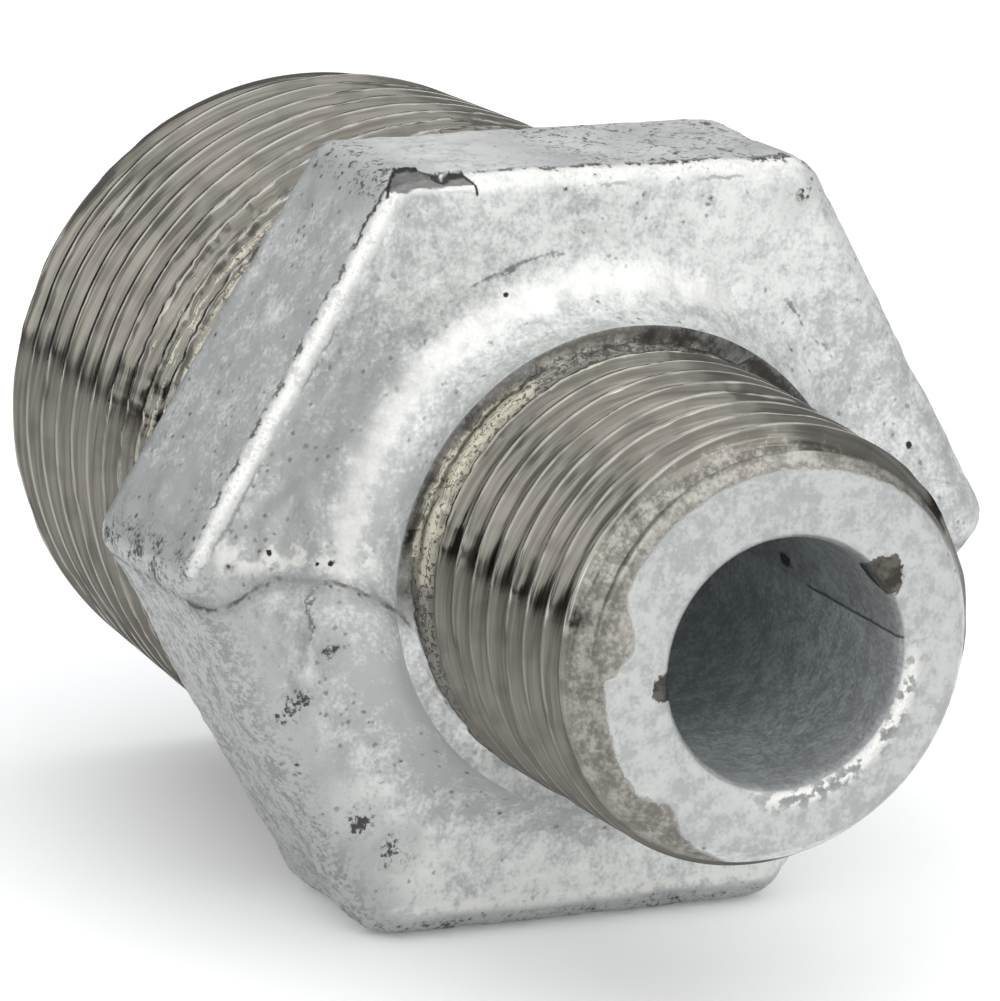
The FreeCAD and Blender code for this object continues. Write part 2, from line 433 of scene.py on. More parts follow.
class Shell:
    """Rings of points about the axis, joined one to the next into a closed skin."""

    def __init__(self, columns, axis_height, thread_shift):
        self.columns = columns
        self.angles = np.arange(columns) * 2 * math.pi / columns
        self.axis_height = axis_height
        self.thread_shift = thread_shift
        self.points = []
        self.faces = []

    def point(self, x, radius, angle, shift):
        self.points.append((x, radius * math.cos(angle) + self.thread_shift[0] * shift,
                            self.axis_height + radius * math.sin(angle) + self.thread_shift[1] * shift))
        return len(self.points) - 1

    def ring(self, x, radius, shift=0.0):
        """A ring at a place and radius, each a number or one number for each column.

        A shift of 0 puts its middle on the casting's axis, and 1 on the threads' axis.
        """
        xs = np.broadcast_to(x, self.angles.shape)
        radii = np.broadcast_to(radius, self.angles.shape)
        return [self.point(*spot, shift) for spot in zip(xs, radii, self.angles)]

    def face(self, corners):
        """A face without the corners that have run together, if it has an area left."""
        kept = [corner for number, corner in enumerate(corners) if corner != corners[number - 1]]
        if len(kept) > 2:
            self.faces.append(kept)

    def stitch(self, first, second):
        for column in range(self.columns):
            after = (column + 1) % self.columns
            self.face([first[column], second[column], second[after], first[after]])

    def chain(self, rings):
        """Stitch a list of rings and give back its last one."""
        for first, second in zip(rings, rings[1:]):
            self.stitch(first, second)
        return rings[-1]

    def helix(self, low, high, pitch, steps, radius_at):
        """Rows that climb one pitch in each turn, between a ring at a low and one at a high x.

        steps are the rows within one pitch. A row starts at the low ring and ends at the high
        one, each at its own column, so no row breaks off in between.
        """
        low_x, high_x = self.points[low[0]][0], self.points[high[0]][0]
        first_turn = math.floor(low_x / pitch) - 1
        turns = math.ceil((high_x - low_x) / pitch) + 3
        places = [first_turn + turn + step for turn in range(turns) for step in steps]
        made = {}

        def corner(row, column):
            if column == self.columns:
                row, column = row + len(steps), 0
            if row >= len(places):
                return high[column]
            x = pitch * (places[row] + column / self.columns)
            if x <= low_x:
                return low[column]
            if x >= high_x:
                return high[column]
            if (row, column) not in made:
                angle = self.angles[column]
                made[row, column] = self.point(x, radius_at(x, angle), angle, 1.0)
            return made[row, column]

        for row in range(len(places)):
            for column in range(self.columns):
                self.face([corner(row, column), corner(row + 1, column),
                           corner(row + 1, column + 1), corner(row, column + 1)])

    def mesh(self, name):
        made = bpy.data.meshes.new(name)
        made.from_pydata(self.points, [], self.faces)
        shaped = bmesh.new()
        shaped.from_mesh(made)
        bmesh.ops.recalc_face_normals(shaped, faces=shaped.faces)
        shaped.to_mesh(made)
        shaped.free()
        made.shade_smooth()
        return made


# The six corners and flats, counted up from +Y by the angle about the axis, which reaches the
# top at a quarter turn. The two halves of the mould gave them roundings of their own.
CORNER_RADII = [2.3 * MM, 2.8 * MM, 1.6 * MM, 2.2 * MM, 2.8 * MM, 2.6 * MM]
FRONT_EDGE_RADII = [1.6 * MM, 1.1 * MM, 1.0 * MM, 2.4 * MM, 1.7 * MM, 2.0 * MM]
SECTOR = math.pi / 3

# Share of a flat's sector over which its front edge has one rounding.
EVEN_SHARE = 0.3

# Rows of the thread within one pitch: crest, its two edges, flanks, root and its edges.
THREAD_STEPS = [0.0, 0.10, 0.26, 0.42, 0.5, 0.58, 0.74, 0.90]

# Smallest rounding that is left of a corner where the outline is moved in.
LEAST_ROUNDING = 0.3 * MM

# The broken outer edges of the two end faces: along the axis, and in from the edge. The last
# ring on each flat face stands further in.
SMALL_EDGE_STEP = (0.1 * MM, 0.03 * MM)
LARGE_EDGE_STEP = (0.08 * MM, 0.02 * MM)
SMALL_FACE_MARGIN = 0.35 * MM
LARGE_FACE_MARGIN = 0.3 * MM

# Steps from ring to ring: over the neck's hollow root, the front face, the front edge, the
# flats and the back edge, over the two end faces, and down the large bore, its cone and the
# small bore.
ROOT_STEPS = 10
FRONT_STEPS = 16
EDGE_STEPS = 7
FLAT_STEPS = 23
BACK_EDGE_STEPS = 4
SMALL_FACE_STEPS = 8
LARGE_FACE_STEPS = 4
LARGE_BORE_STEPS = 4
CONE_STEPS = 7
SMALL_BORE_STEPS = 8

# How far the cone's profile bends away from a straight line, as a share of its height.
CONE_BEND = 0.06

# Where the helical rows of a thread end, short of its face.
THREAD_END = 0.3 * MM


def hexagon_radius(angles, apothem, inset):
    """Distance from the axis to a hexagon with rounded corners, moved in by an inset."""
    nearest = np.round(angles / SECTOR).astype(int) % 6
    from_corner = np.abs((angles + SECTOR / 2) % SECTOR - SECTOR / 2)
    flat = apothem - inset
    rounding = np.maximum(np.array(CORNER_RADII)[nearest] - inset, LEAST_ROUNDING)
    centre = (flat - rounding) / math.cos(SECTOR / 2)
    tangent = np.arctan2(rounding * 0.5, centre + rounding * math.cos(SECTOR / 2))
    on_flat = flat / np.cos(SECTOR / 2 - from_corner)
    under_root = np.maximum(rounding ** 2 - (centre * np.sin(from_corner)) ** 2, 0)
    on_corner = centre * np.cos(from_corner) + np.sqrt(under_root)
    return np.where(from_corner < tangent, on_corner, on_flat)


def front_edge_radius(angles):
    """Rounding between the front face and each flat, running over at the corners."""
    spots, values = [], []
    for flat, radius in enumerate(FRONT_EDGE_RADII):
        middle = (flat + 0.5) * SECTOR
        spots += [middle - EVEN_SHARE * SECTOR, middle + EVEN_SHARE * SECTOR]
        values += [radius, radius]
    return np.interp(angles, spots, values, period=2 * math.pi)


def crest_radius(mount, taper, x):
    """Radius of a tapered end at the crest of its thread."""
    towards_end = mount["axis"][0]
    return mount["dims"]["r_mm"] * MM - taper * (x - mount["pos_m"][0]) * towards_end


def quarter_turn(count):
    """Even steps through a quarter turn, both ends included."""
    return [math.pi / 2 * step / count for step in range(count + 1)]


def even_steps(start, end, count):
    """Even steps from a start to an end, both included."""
    return np.linspace(start, end, count + 1)


class Outline:
    """Places along the axis and radii of the casting."""

    def __init__(self, sizes, threads, angles):
        self.sizes = sizes
        self.threads = threads
        self.lean = math.tan(sizes.mould_draft) * np.abs(np.sin(angles))
        self.half = sizes.hexagon_width / 2
        self.apothem = sizes.across_flats / 2
        self.neck_end = sizes.hexagon_middle + self.half + sizes.neck_length

    def face_place(self, side, radius):
        """Place of the front or back face, leaning in from the parting plane."""
        return self.sizes.hexagon_middle + side * (self.half - self.lean * radius)

    def small_end(self, x, angle):
        """Radius of the small end: its crests, the shoulder beside the neck and the lead."""
        sizes, taper = self.sizes, self.threads.taper
        crest = crest_radius(mounts["small_thread"], taper, x)
        lead = sizes.small_chamfer + sizes.lead_skew * np.maximum(np.cos(angle - sizes.lead_heading), 0)
        thread_start = self.neck_end + sizes.neck_shoulder
        foot = crest_radius(mounts["small_thread"], taper, thread_start)
        shoulder = (sizes.neck_radius - foot) * max(0, thread_start - x) / sizes.neck_shoulder
        return crest + shoulder - np.maximum(0, x - sizes.small_face + lead) * sizes.small_chamfer / lead

    def large_end(self, x, angle):
        """Radius of the large end, the same at every angle."""
        crest = crest_radius(mounts["large_thread"], self.threads.taper, x)
        return crest - max(0, self.sizes.large_face + self.sizes.large_chamfer - x)


def small_face_rings(shell, outline):
    """Rings of the small end, from the bore's mouth over the face to the lead."""
    sizes = outline.sizes
    face, mouth = sizes.small_face, sizes.bore_mouth
    edge = outline.small_end(face, shell.angles)
    rings = [shell.ring(face - mouth, sizes.small_bore),
             shell.ring(face - mouth * 0.3, sizes.small_bore + mouth * 0.3)]
    start = sizes.small_bore + mouth
    for part in even_steps(0, 1, SMALL_FACE_STEPS):
        rings.append(shell.ring(face, start + (edge - SMALL_FACE_MARGIN - start) * part, part))
    along, inwards = SMALL_EDGE_STEP
    rings.append(shell.ring(face - along, edge - inwards, 1.0))
    rings.append(shell.ring(face - THREAD_END, outline.small_end(face - THREAD_END, shell.angles), 1.0))
    return rings


def hexagon_rings(shell, outline):
    """Rings from the neck's hollow root over the hexagon down to the large thread."""
    sizes, apothem, face_place = outline.sizes, outline.apothem, outline.face_place
    angles = shell.angles
    root_radius = sizes.neck_radius + sizes.neck_root_radius
    front = face_place(1, root_radius)
    rings = []
    for turn in quarter_turn(ROOT_STEPS):
        rings.append(shell.ring(front + sizes.neck_root_radius * (1 - math.sin(turn)),
                                root_radius - sizes.neck_root_radius * math.cos(turn)))
    edge = front_edge_radius(angles)
    rim = hexagon_radius(angles, apothem, edge)
    for part in even_steps(0, 1, FRONT_STEPS)[1:]:
        radius = root_radius + (rim - root_radius) * part
        rings.append(shell.ring(face_place(1, radius), radius))

    # Front edge, flats and back edge.
    for turn in quarter_turn(EDGE_STEPS)[1:]:
        radius = hexagon_radius(angles, apothem, edge * (1 - math.sin(turn)))
        rings.append(shell.ring(face_place(1, rim) - edge * (1 - math.cos(turn)), radius))
    widest = hexagon_radius(angles, apothem, 0)
    flat_front = face_place(1, rim) - edge
    back_edge = sizes.back_edge_radius
    back_rim = hexagon_radius(angles, apothem, back_edge)
    flat_back = face_place(-1, back_rim) + back_edge
    for part in even_steps(0, 1, FLAT_STEPS)[1:-1]:
        rings.append(shell.ring(flat_front + (flat_back - flat_front) * part, widest))
    for turn in quarter_turn(BACK_EDGE_STEPS):
        radius = hexagon_radius(angles, apothem, back_edge * (1 - math.cos(turn)))
        rings.append(shell.ring(flat_back - back_edge * math.sin(turn), radius))

    # Back face down to the large thread.
    hexagon_back = sizes.hexagon_middle - outline.half
    large_root = outline.large_end(hexagon_back, 0)
    halfway = (back_rim + large_root) / 2
    rings.append(shell.ring(face_place(-1, halfway), halfway, 0.5))
    rings.append(shell.ring(hexagon_back, large_root, 1.0))
    return rings


def bore_rings(shell, outline):
    """Rings over the large end's face and down the large bore, the cone and the small bore."""
    sizes = outline.sizes
    face, mouth = sizes.large_face, sizes.bore_mouth
    edge = outline.large_end(face, 0)
    along, inwards = LARGE_EDGE_STEP
    rings = [shell.ring(face + along, edge - inwards, 1.0)]
    start = sizes.large_bore + mouth
    for part in even_steps(1, 0, LARGE_FACE_STEPS):
        rings.append(shell.ring(face, start + (edge - LARGE_FACE_MARGIN - start) * part, part))
    rings.append(shell.ring(face + mouth, sizes.large_bore))
    cone_start = face + sizes.large_bore_depth
    for x in even_steps(face + mouth, cone_start, LARGE_BORE_STEPS)[1:-1]:
        rings.append(shell.ring(x, sizes.large_bore))
    for part in even_steps(0, 1, CONE_STEPS):
        eased = part - CONE_BEND * math.sin(2 * math.pi * part)
        rings.append(shell.ring(cone_start + sizes.bore_cone * part,
                                sizes.large_bore + (sizes.small_bore - sizes.large_bore) * eased))
    bore_start = cone_start + sizes.bore_cone
    for x in even_steps(bore_start, sizes.small_face - mouth, SMALL_BORE_STEPS)[1:-1]:
        rings.append(shell.ring(x, sizes.small_bore))
    return rings


def casting_mesh(sizes, threads):
    """The nipple before its threads are cut, with rows that follow the two helices."""
    shell = Shell(sizes.columns, sizes.axis_height, (threads.off_centre_y, threads.off_centre_z))
    outline = Outline(sizes, threads, shell.angles)
    small_face = small_face_rings(shell, outline)
    small_high = shell.chain(small_face)
    small_low = shell.ring(outline.neck_end, sizes.neck_radius)
    shell.helix(small_low, small_high, threads.small_pitch, THREAD_STEPS, outline.small_end)
    large_high = shell.chain([small_low] + hexagon_rings(shell, outline))
    thread_end = sizes.large_face + THREAD_END
    large_low = shell.ring(thread_end, outline.large_end(thread_end, 0), 1.0)
    shell.helix(large_low, large_high, threads.large_pitch, THREAD_STEPS, outline.large_end)
    shell.chain([large_low] + bore_rings(shell, outline) + small_face[:1])
    return shell.mesh(NODE)


def new_group(name, inputs):
    """An empty geometry group with its named inputs, and their wires by name."""
    group = bpy.data.node_groups.new(name, "GeometryNodeTree")
    group.interface.new_socket("Geometry", in_out="INPUT", socket_type="NodeSocketGeometry")
    for label in inputs:
        group.interface.new_socket(label, in_out="INPUT", socket_type="NodeSocketFloat")
    group.interface.new_socket("Material", in_out="INPUT", socket_type="NodeSocketMaterial")
    group.interface.new_socket("Geometry", in_out="OUTPUT", socket_type="NodeSocketGeometry")
    wiring = Wiring(group)
    entry = wiring.node("NodeGroupInput")
    return wiring, {socket.name: Wire(wiring, socket) for socket in entry.outputs if socket.name}


def close_group(wiring, geometry, material):
    """Realize Instances and Set Material, then the group's output."""
    realized = wiring.node("GeometryNodeRealizeInstances")
    wiring.plug(realized.inputs["Geometry"], geometry)
    finished = wiring.node("GeometryNodeSetMaterial")
    wiring.plug(finished.inputs["Geometry"], wiring.wire(realized))
    wiring.plug(finished.inputs["Material"], material)
    wiring.plug(wiring.node("NodeGroupOutput").inputs[0], wiring.wire(finished))
    return wiring.tree


def place_about_axis(wiring, given):
    """Where a point is: along the axis, across and up from it, its distance and its angle."""
    at = SimpleNamespace(position=wiring.wire(wiring.node("GeometryNodeInputPosition")))
    at.x, across, height = wiring.split(at.position)
    at.y = across - given["Axis Y"]
    at.z = height - given["Axis height"]
    at.radius = wiring.hypotenuse(at.y, at.z)
    at.angle = wiring.math("ARCTAN2", at.z, at.y)
    return at


def near_heading(wiring, at, heading, reach):
    """1 at an angle about the axis, falling to 0 at its reach on both sides, in degrees."""
    return wiring.near(at.angle, math.radians(heading), math.radians(reach))


# The ragged edge of the zinc on the small end's face: heading and reach in degrees, and how far
# the edge moves out there in millimetres.
ZINC_EDGE_MOVES = [(169, 17, -1.2), (-132, 11, -0.8), (35, 50, 0.4)]

# Stains on the edge of the small bore: heading in degrees and radius in millimetres.
STAINS = [(38, 1.0), (-174, 0.7)]

# The painted highlight in the neck's root, partly thick zinc, and the crease outside it, with painted
# shade: radii, and headings in degrees.
# The crease shows at two headings, each with its reach.
ROOT_HIGHLIGHT_RADIUS = 13.2 * MM
ROOT_HIGHLIGHT_HEADING = 122
ROOT_CREASE_RADIUS = 14.75 * MM
ROOT_CREASES = [(108, 16), (45, 14)]

# Heading in degrees of the side where torn iron is cream.
CREAM_HEADING = 150

# Dirty patches on the front face: place in millimetres from the axis, towards +Y and up, and
# radius.
FACE_DIRT = [(-11.8, -12.2, 1.6), (-10.0, -13.8, 1.9), (-15.2, -6.5, 1.5), (-13.2, -3.6, 1.3),
             (-14.6, -9.6, 1.2), (10.2, 16.8, 2.2), (-19.6, -1.4, 1.6)]

# The crease where the mould's two halves met, on the front face: millimetres from the axis
# across, on the left, and up. The right side mirrors it.
PARTING_CREASE = [(-21.5, -1.0), (-20.3, -1.0), (-19.3, -1.3), (-18.7, -1.1), (-17.9, -0.7),
                  (-17.1, -0.3), (-16.3, -0.1), (-15.2, -0.2), (-14.3, -0.4), (-13.4, -0.3),
                  (-12.7, -0.6), (-11.9, -0.9), (-11.4, -1.2), (-10.6, -2.2)]
PARTING_START = 10.6

# The chip in the top flat, in millimetres. Its back edge: from the axis across, and along the
# axis. Its front edge, along the axis, and how far below the flat it ends.
CHIP_BACK = [(-11.5, 7.8), (-10.9, 6.8), (-10.4, 5.9), (-9.9, 5.3), (-9.3, 5.1), (-8.85, 5.3),
             (-8.75, 6.6), (-8.3, 7.0), (-7.8, 6.75), (-7.1, 6.6), (-6.8, 7.3)]
CHIP_FRONT = 7.35
CHIP_FOOT = 0.9


def above_crease(wiring, y, z):
    """Height above the parting crease, in millimetres from places in millimetres."""
    return z - wiring.traced(-abs(y), PARTING_CREASE)


def inside_chip(wiring, x, y, z, flat):
    """How far inside the chip a place is, and how far in front of its back edge, in millimetres."""
    from_back = x - wiring.traced(y, CHIP_BACK)
    ends = wiring.lowest(y - CHIP_BACK[0][0], CHIP_BACK[-1][0] - y, z - flat + CHIP_FOOT)
    return wiring.lowest(from_back, CHIP_FRONT - x, ends), from_back


def bare_iron_depth(wiring, given, at):
    """How far inside the bare iron a place is: on the threads and in the stains beside the bore.

    On the small end's face the zinc starts at a ragged edge, and on the lower right it runs over
    the lead.
    """
    wide_side = wiring.math("COSINE", at.angle - given["Lead heading"])
    zinc_edge = given["Zinc edge"]
    for heading, reach, out in ZINC_EDGE_MOVES:
        zinc_edge = zinc_edge + near_heading(wiring, at, heading, reach) * out * MM
    zinc_edge = zinc_edge + wiring.ramp(wide_side, 0.25, 0.6) * 3.0 * MM
    zinc_start = given["Small face"] - 0.5 * MM - wiring.ramp(wide_side, 0.35, 0.8) * 1.5 * MM
    neck_edge = given["Neck end"] + wiring.ramp(-at.z, 0.0, 6.0 * MM) * 0.9 * MM
    small = wiring.lowest(at.x - neck_edge, wiring.highest(at.radius - zinc_edge, zinc_start - at.x),
                          at.radius - given["Small bore"] - 0.9 * MM)
    stains = []
    for heading, size in STAINS:
        stain_radius = given["Small bore"] + 0.2 * MM
        off_y = at.y - math.cos(math.radians(heading)) * stain_radius
        off_z = at.z - math.sin(math.radians(heading)) * stain_radius
        stains.append(size * MM - wiring.hypotenuse(off_y, off_z))
    stain = wiring.lowest(wiring.highest(*stains), at.x - given["Small face"] + 1.0 * MM)
    large = wiring.lowest(given["Back"] - at.x, at.x - given["Large face"] - 0.15 * MM,
                          at.radius - given["Large bore"] - 1.0 * MM)
    iron = wiring.highest(small, stain, large)
    return wiring.lowest(wiring.highest(iron, -1.5 * MM), 1.5 * MM)


def dirt_share(wiring, given, at, in_front, bottom_edge):
    """Dirt in patches on the front face, on the top flat's edge, on the corners and below."""
    flat = given["Across flats"] / 2.0
    patches = 0.0
    for spot_y, spot_z, size in FACE_DIRT:
        far = wiring.hypotenuse(at.y - spot_y * MM, at.z - spot_z * MM) + at.fray * 3.0 * MM
        patches = wiring.highest(wiring.fall(far, 0.0, size * MM), patches)
    rubbed = (wiring.ramp(at.z, flat - 0.8 * MM, flat - 0.3 * MM)
              * wiring.ramp(at.y, -7.0 * MM, 0.0))
    corners = wiring.ramp(at.radius, 19.8 * MM, 20.9 * MM) * 0.84
    return wiring.highest(patches * in_front, rubbed * 0.8, corners, bottom_edge * 0.8)


def neck_root_marks(wiring, at, in_front):
    """Share of the neck root's painted highlight, partly thick zinc, and the distance from the crease
    outside it.
    """
    from_heading = at.angle - math.radians(ROOT_HIGHLIGHT_HEADING)
    upper = wiring.ramp(wiring.math("COSINE", from_heading), 0.30, 0.62)
    thick = wiring.near(at.radius, ROOT_HIGHLIGHT_RADIUS, 1.4 * MM) * in_front * upper
    first, second = (near_heading(wiring, at, *crease) for crease in ROOT_CREASES)
    from_crease = abs(at.radius - ROOT_CREASE_RADIUS + at.fray * 1.6 * MM) / MM
    uncreased = wiring.fall(first + second, 0.1, 0.3)
    return thick, from_crease + uncreased * 0.5 + (1.0 - in_front) * 5.0


def wear_map_group():
    """Writes on each point, in millimetres and shares, what the finish needs to know of its place.

    zone: how far inside the bare iron, share of bore, share of the small end's face.
    marks: share of dirt, distance from the front edges with their painted highlight, how much further it
    lies behind the front face than inside the flat.
    lines: share of the painted highlight in the neck's root, partly thick zinc, distance from the crease
    round that root, share of mottled soil and painted shade.
    broad: slow noise, a second slow noise, share of the side where torn iron is cream.
    """
    wiring, given = new_group("Wear map", [
        "Axis Y", "Axis height", "Front", "Back", "Neck end", "Small face", "Large face",
        "Small bore", "Large bore", "Across flats", "Draft slope", "Lead heading", "Zinc edge",
        "Seed"])
    at = place_about_axis(wiring, given)
    x, y, z = at.x, at.y, at.z
    at.fray = wiring.noise(at.position, scale=450.0, seed=given["Seed"]) - 0.5
    in_front = wiring.over(x, given["Front"] - 1.0 * MM) * wiring.under(x, given["Neck end"])
    flat = given["Across flats"] / 2.0
    bottom_edge = wiring.ramp(-z, flat - 1.5 * MM, flat - 0.8 * MM)

    in_small = wiring.fall(at.radius, given["Small bore"] + 0.02 * MM, given["Small bore"] + 0.3 * MM)
    in_large = (wiring.under(at.radius, given["Large bore"] + 0.25 * MM)
                * wiring.under(x, given["Front"] - 3.0 * MM))
    on_face = wiring.ramp(x, given["Small face"] - 0.3 * MM, given["Small face"] - 0.1 * MM)

    # Distances from the front edges, along which a highlight is painted. Below the parting crease there is
    # no painted highlight.
    below_face = given["Front"] - abs(z) * given["Draft slope"] - x
    upper_left = flat - (z * math.sin(SECTOR / 2) - y * math.cos(SECTOR / 2))
    lower_left = flat + z * math.sin(SECTOR / 2) + y * math.cos(SECTOR / 2)
    inside_flat = wiring.lowest(upper_left, flat - z)
    bead_and_highlight = wiring.highest(below_face, inside_flat)
    bead_and_highlight = bead_and_highlight + wiring.fall(z, -0.4 * MM, 0.2 * MM) * 5.0 * MM
    # Soil, with painted shade, towards the lower-left flat and along the bottom edge.
    soiled = (wiring.highest(wiring.fall(lower_left, -0.3 * MM, 4.2 * MM), bottom_edge)
              * wiring.under(x, given["Neck end"]) * wiring.over(x, given["Back"]))

    slow = wiring.noise(at.position, scale=300.0, seed=given["Seed"])
    slower = wiring.noise(wiring.join(x * 800.0, y * 500.0, z * 500.0), scale=1.0,
                          seed=given["Seed"])
    from_cream = at.angle - math.radians(CREAM_HEADING)
    cream = wiring.ramp(wiring.math("COSINE", from_cream), 0.80, 0.95)

    kept = given["Geometry"]
    iron = bare_iron_depth(wiring, given, at)
    dirt = dirt_share(wiring, given, at, in_front, bottom_edge)
    for name, vector in (("zone", (iron / MM, wiring.highest(in_small, in_large), on_face)),
                         ("marks", (dirt, bead_and_highlight / MM, (below_face - inside_flat) / MM)),
                         ("lines", (*neck_root_marks(wiring, at, in_front), soiled)),
                         ("broad", (slow, slower, cream))):
        kept = wiring.keep(kept, name, wiring.join(*vector))
    return close_group(wiring, kept, given["Material"])


def cut_thread_group():
    """Cuts one tapered thread into the mesh: every point inside it is brought in to its surface.

    thread, written on its points: distance from the crest's middle in pitches, share of the torn
    first turns, share of the lower side, where the crests' painted highlight is dimmed.
    """
    wiring, given = new_group("Cut thread", [
        "Axis Y", "Axis height", "Direction", "Gauge place", "Gauge radius", "Taper", "Start", "Pitch",
        "Depth", "Crest width", "Run-out", "Crest wear", "Torn length", "Torn share",
        "Underside heading", "Seed"])
    at = place_about_axis(wiring, given)
    x, y, z = at.x, at.y, at.z
    from_crest = wiring.math("PINGPONG", x / given["Pitch"] - at.angle / (2 * math.pi), 0.5)
    along = (x - given["Start"]) * given["Direction"]
    groove = wiring.ramp(from_crest, given["Crest width"] * 0.5, 0.44, smooth=False)
    fade = wiring.ramp(along, 0.0, given["Run-out"])
    crest = given["Gauge radius"] - given["Taper"] * (x - given["Gauge place"]) * given["Direction"]

    # Crests are torn down in patches, and the first turns are rough all over.
    patches = wiring.noise(wiring.join(x * 500.0, y * 170.0, z * 170.0), scale=1.0, detail=3.0,
                           roughness=0.6, seed=given["Seed"])
    torn = wiring.ramp(patches, 0.5, 0.75) * (1.0 - groove)
    rough = wiring.noise(wiring.join(x * 1700.0, y * 1100.0, z * 1100.0), scale=1.0, detail=3.0,
                         roughness=0.65, seed=given["Seed"])
    near_start = wiring.fall(along, given["Torn length"] * 0.3, given["Torn length"])
    wear = given["Crest wear"] * (torn * 0.6 + near_start * wiring.ramp(rough, 0.35, 0.8))
    cut = crest - given["Depth"] * groove * fade - wear
    inside = wiring.over(along, 0.0) * wiring.over(at.radius, crest - given["Depth"] * 1.5)
    reached = wiring.blend(inside, at.radius, wiring.lowest(at.radius, cut))
    moved = wiring.join(x, given["Axis Y"] + y * reached / at.radius,
                        given["Axis height"] + z * reached / at.radius)
    # The lower side, where the crests' painted highlight is dimmed.
    underside = wiring.ramp(wiring.math("SINE", at.angle - given["Underside heading"]), -0.07, 0.03)
    kept = wiring.keep(given["Geometry"], "thread",
                       wiring.join(from_crest, near_start * given["Torn share"], underside), inside)
    return close_group(wiring, wiring.placed(kept, "Position", moved), given["Material"])


def casting_skin_group():
    """Gives the smooth casting its hollows, the step between its two mould halves and a chip."""
    wiring, given = new_group("Casting skin", [
        "Axis Y", "Axis height", "Back", "Neck end", "Inner radius", "Across flats", "Hollow depth",
        "Hollow size", "Ripple depth", "Ripple size", "Parting step", "Crease depth", "Crease width",
        "Chip depth", "Seed"])
    at = place_about_axis(wiring, given)
    x, y, z = at.x, at.y, at.z
    on_hexagon = (wiring.ramp(x, given["Back"], given["Back"] + 0.4 * MM)
                  * wiring.fall(x, given["Neck end"] - 0.6 * MM, given["Neck end"])
                  * wiring.over(at.radius, given["Inner radius"]))
    lumps = wiring.noise(at.position, scale=1.0 / given["Hollow size"], detail=3.0, roughness=0.55,
                         seed=given["Seed"])
    broad = wiring.noise(at.position, scale=0.3 / given["Hollow size"], detail=1.0,
                         seed=given["Seed"])
    hollow = wiring.highest(lumps + (broad - 0.5) - 0.44, 0.0) * 2.5
    ripple = wiring.noise(at.position, scale=1.0 / given["Ripple size"], roughness=0.6,
                          seed=given["Seed"])

    # The mould's two halves meet near the axis's height: the lower one stands back a little.
    side = wiring.ramp(abs(y), PARTING_START * MM, 12.0 * MM)
    from_parting = above_crease(wiring, y / MM, z / MM)
    crease = wiring.fall(abs(from_parting), 0.0, given["Crease width"]) * side
    lower = wiring.fall(from_parting, -0.6, -0.1) * side * wiring.ramp(z, -7.0 * MM, -3.0 * MM)

    # A flake of the coat has come off the top flat beside its front edge.
    inside, _ = inside_chip(wiring, x / MM, y / MM, z / MM, given["Across flats"] / (2 * MM))
    chip = wiring.ramp(inside, -0.15, 0.15)
    depth = (given["Hollow depth"] * hollow + given["Ripple depth"] * ripple
             + given["Crease depth"] * crease + given["Parting step"] * lower
             + given["Chip depth"] * chip)
    normal = wiring.wire(wiring.node("GeometryNodeInputNormal"))
    inwards = wiring.scaled(normal, -(depth * on_hexagon))
    return close_group(wiring, wiring.placed(given["Geometry"], "Offset", inwards), given["Material"])


def add_nodes(piece, group, values):
    """A geometry modifier with its inputs set by the sockets' identifiers."""
    modifier = piece.modifiers.new(group.name, "NODES")
    modifier.node_group = group
    for socket in group.interface.items_tree:
        if socket.in_out == "INPUT" and socket.name in values:
            modifier[socket.identifier] = values[socket.name]


def bake_down(piece):
    """Turn a piece with live modifiers into a plain mesh."""
    ready = piece.evaluated_get(bpy.context.evaluated_depsgraph_get())
    plain = bpy.data.meshes.new_from_object(ready)
    piece.modifiers.clear()
    piece.data = plain


# The finish's marks below are in millimetres: places from the axis, towards +Y and up.
# Open pores in the front face, with their radius.
FACE_PORES = [(-16.7, 1.3, 0.17), (-14.3, 0.6, 0.13), (-13.7, 0.6, 0.19), (16.2, 4.1, 0.22),
              (-5.2, 12.7, 0.14)]

# Heights of the thick zinc above the parting crease and along the bottom edge.
CREASE_RIM_HEIGHT = 1.0
BOTTOM_RIM_HEIGHT = -16.8

# A short crack that runs down from the parting crease, and the side of the chip in the top flat.
CRACK_PLACE = (-14.5, -1.9)
CHIP_SIDE = -8.8

# The bright rim on the bore's edge: its radius, and its middle's direction, towards +Y and up.
BORE_RIM_RADIUS = 6.3
BORE_RIM_SIDE = (0.64, -0.77)

# How far from the small end's face its rough lead reaches.
LEAD_REACH = 1.3

# The core's seam in the bore: its height, and where it fades out. The bore's pore: its depth from
# the face and its height.
SEAM_HEIGHT = 0.72
SEAM_FADE = (9.0, 9.6)
BORE_PORE = (11.2, 1.4)


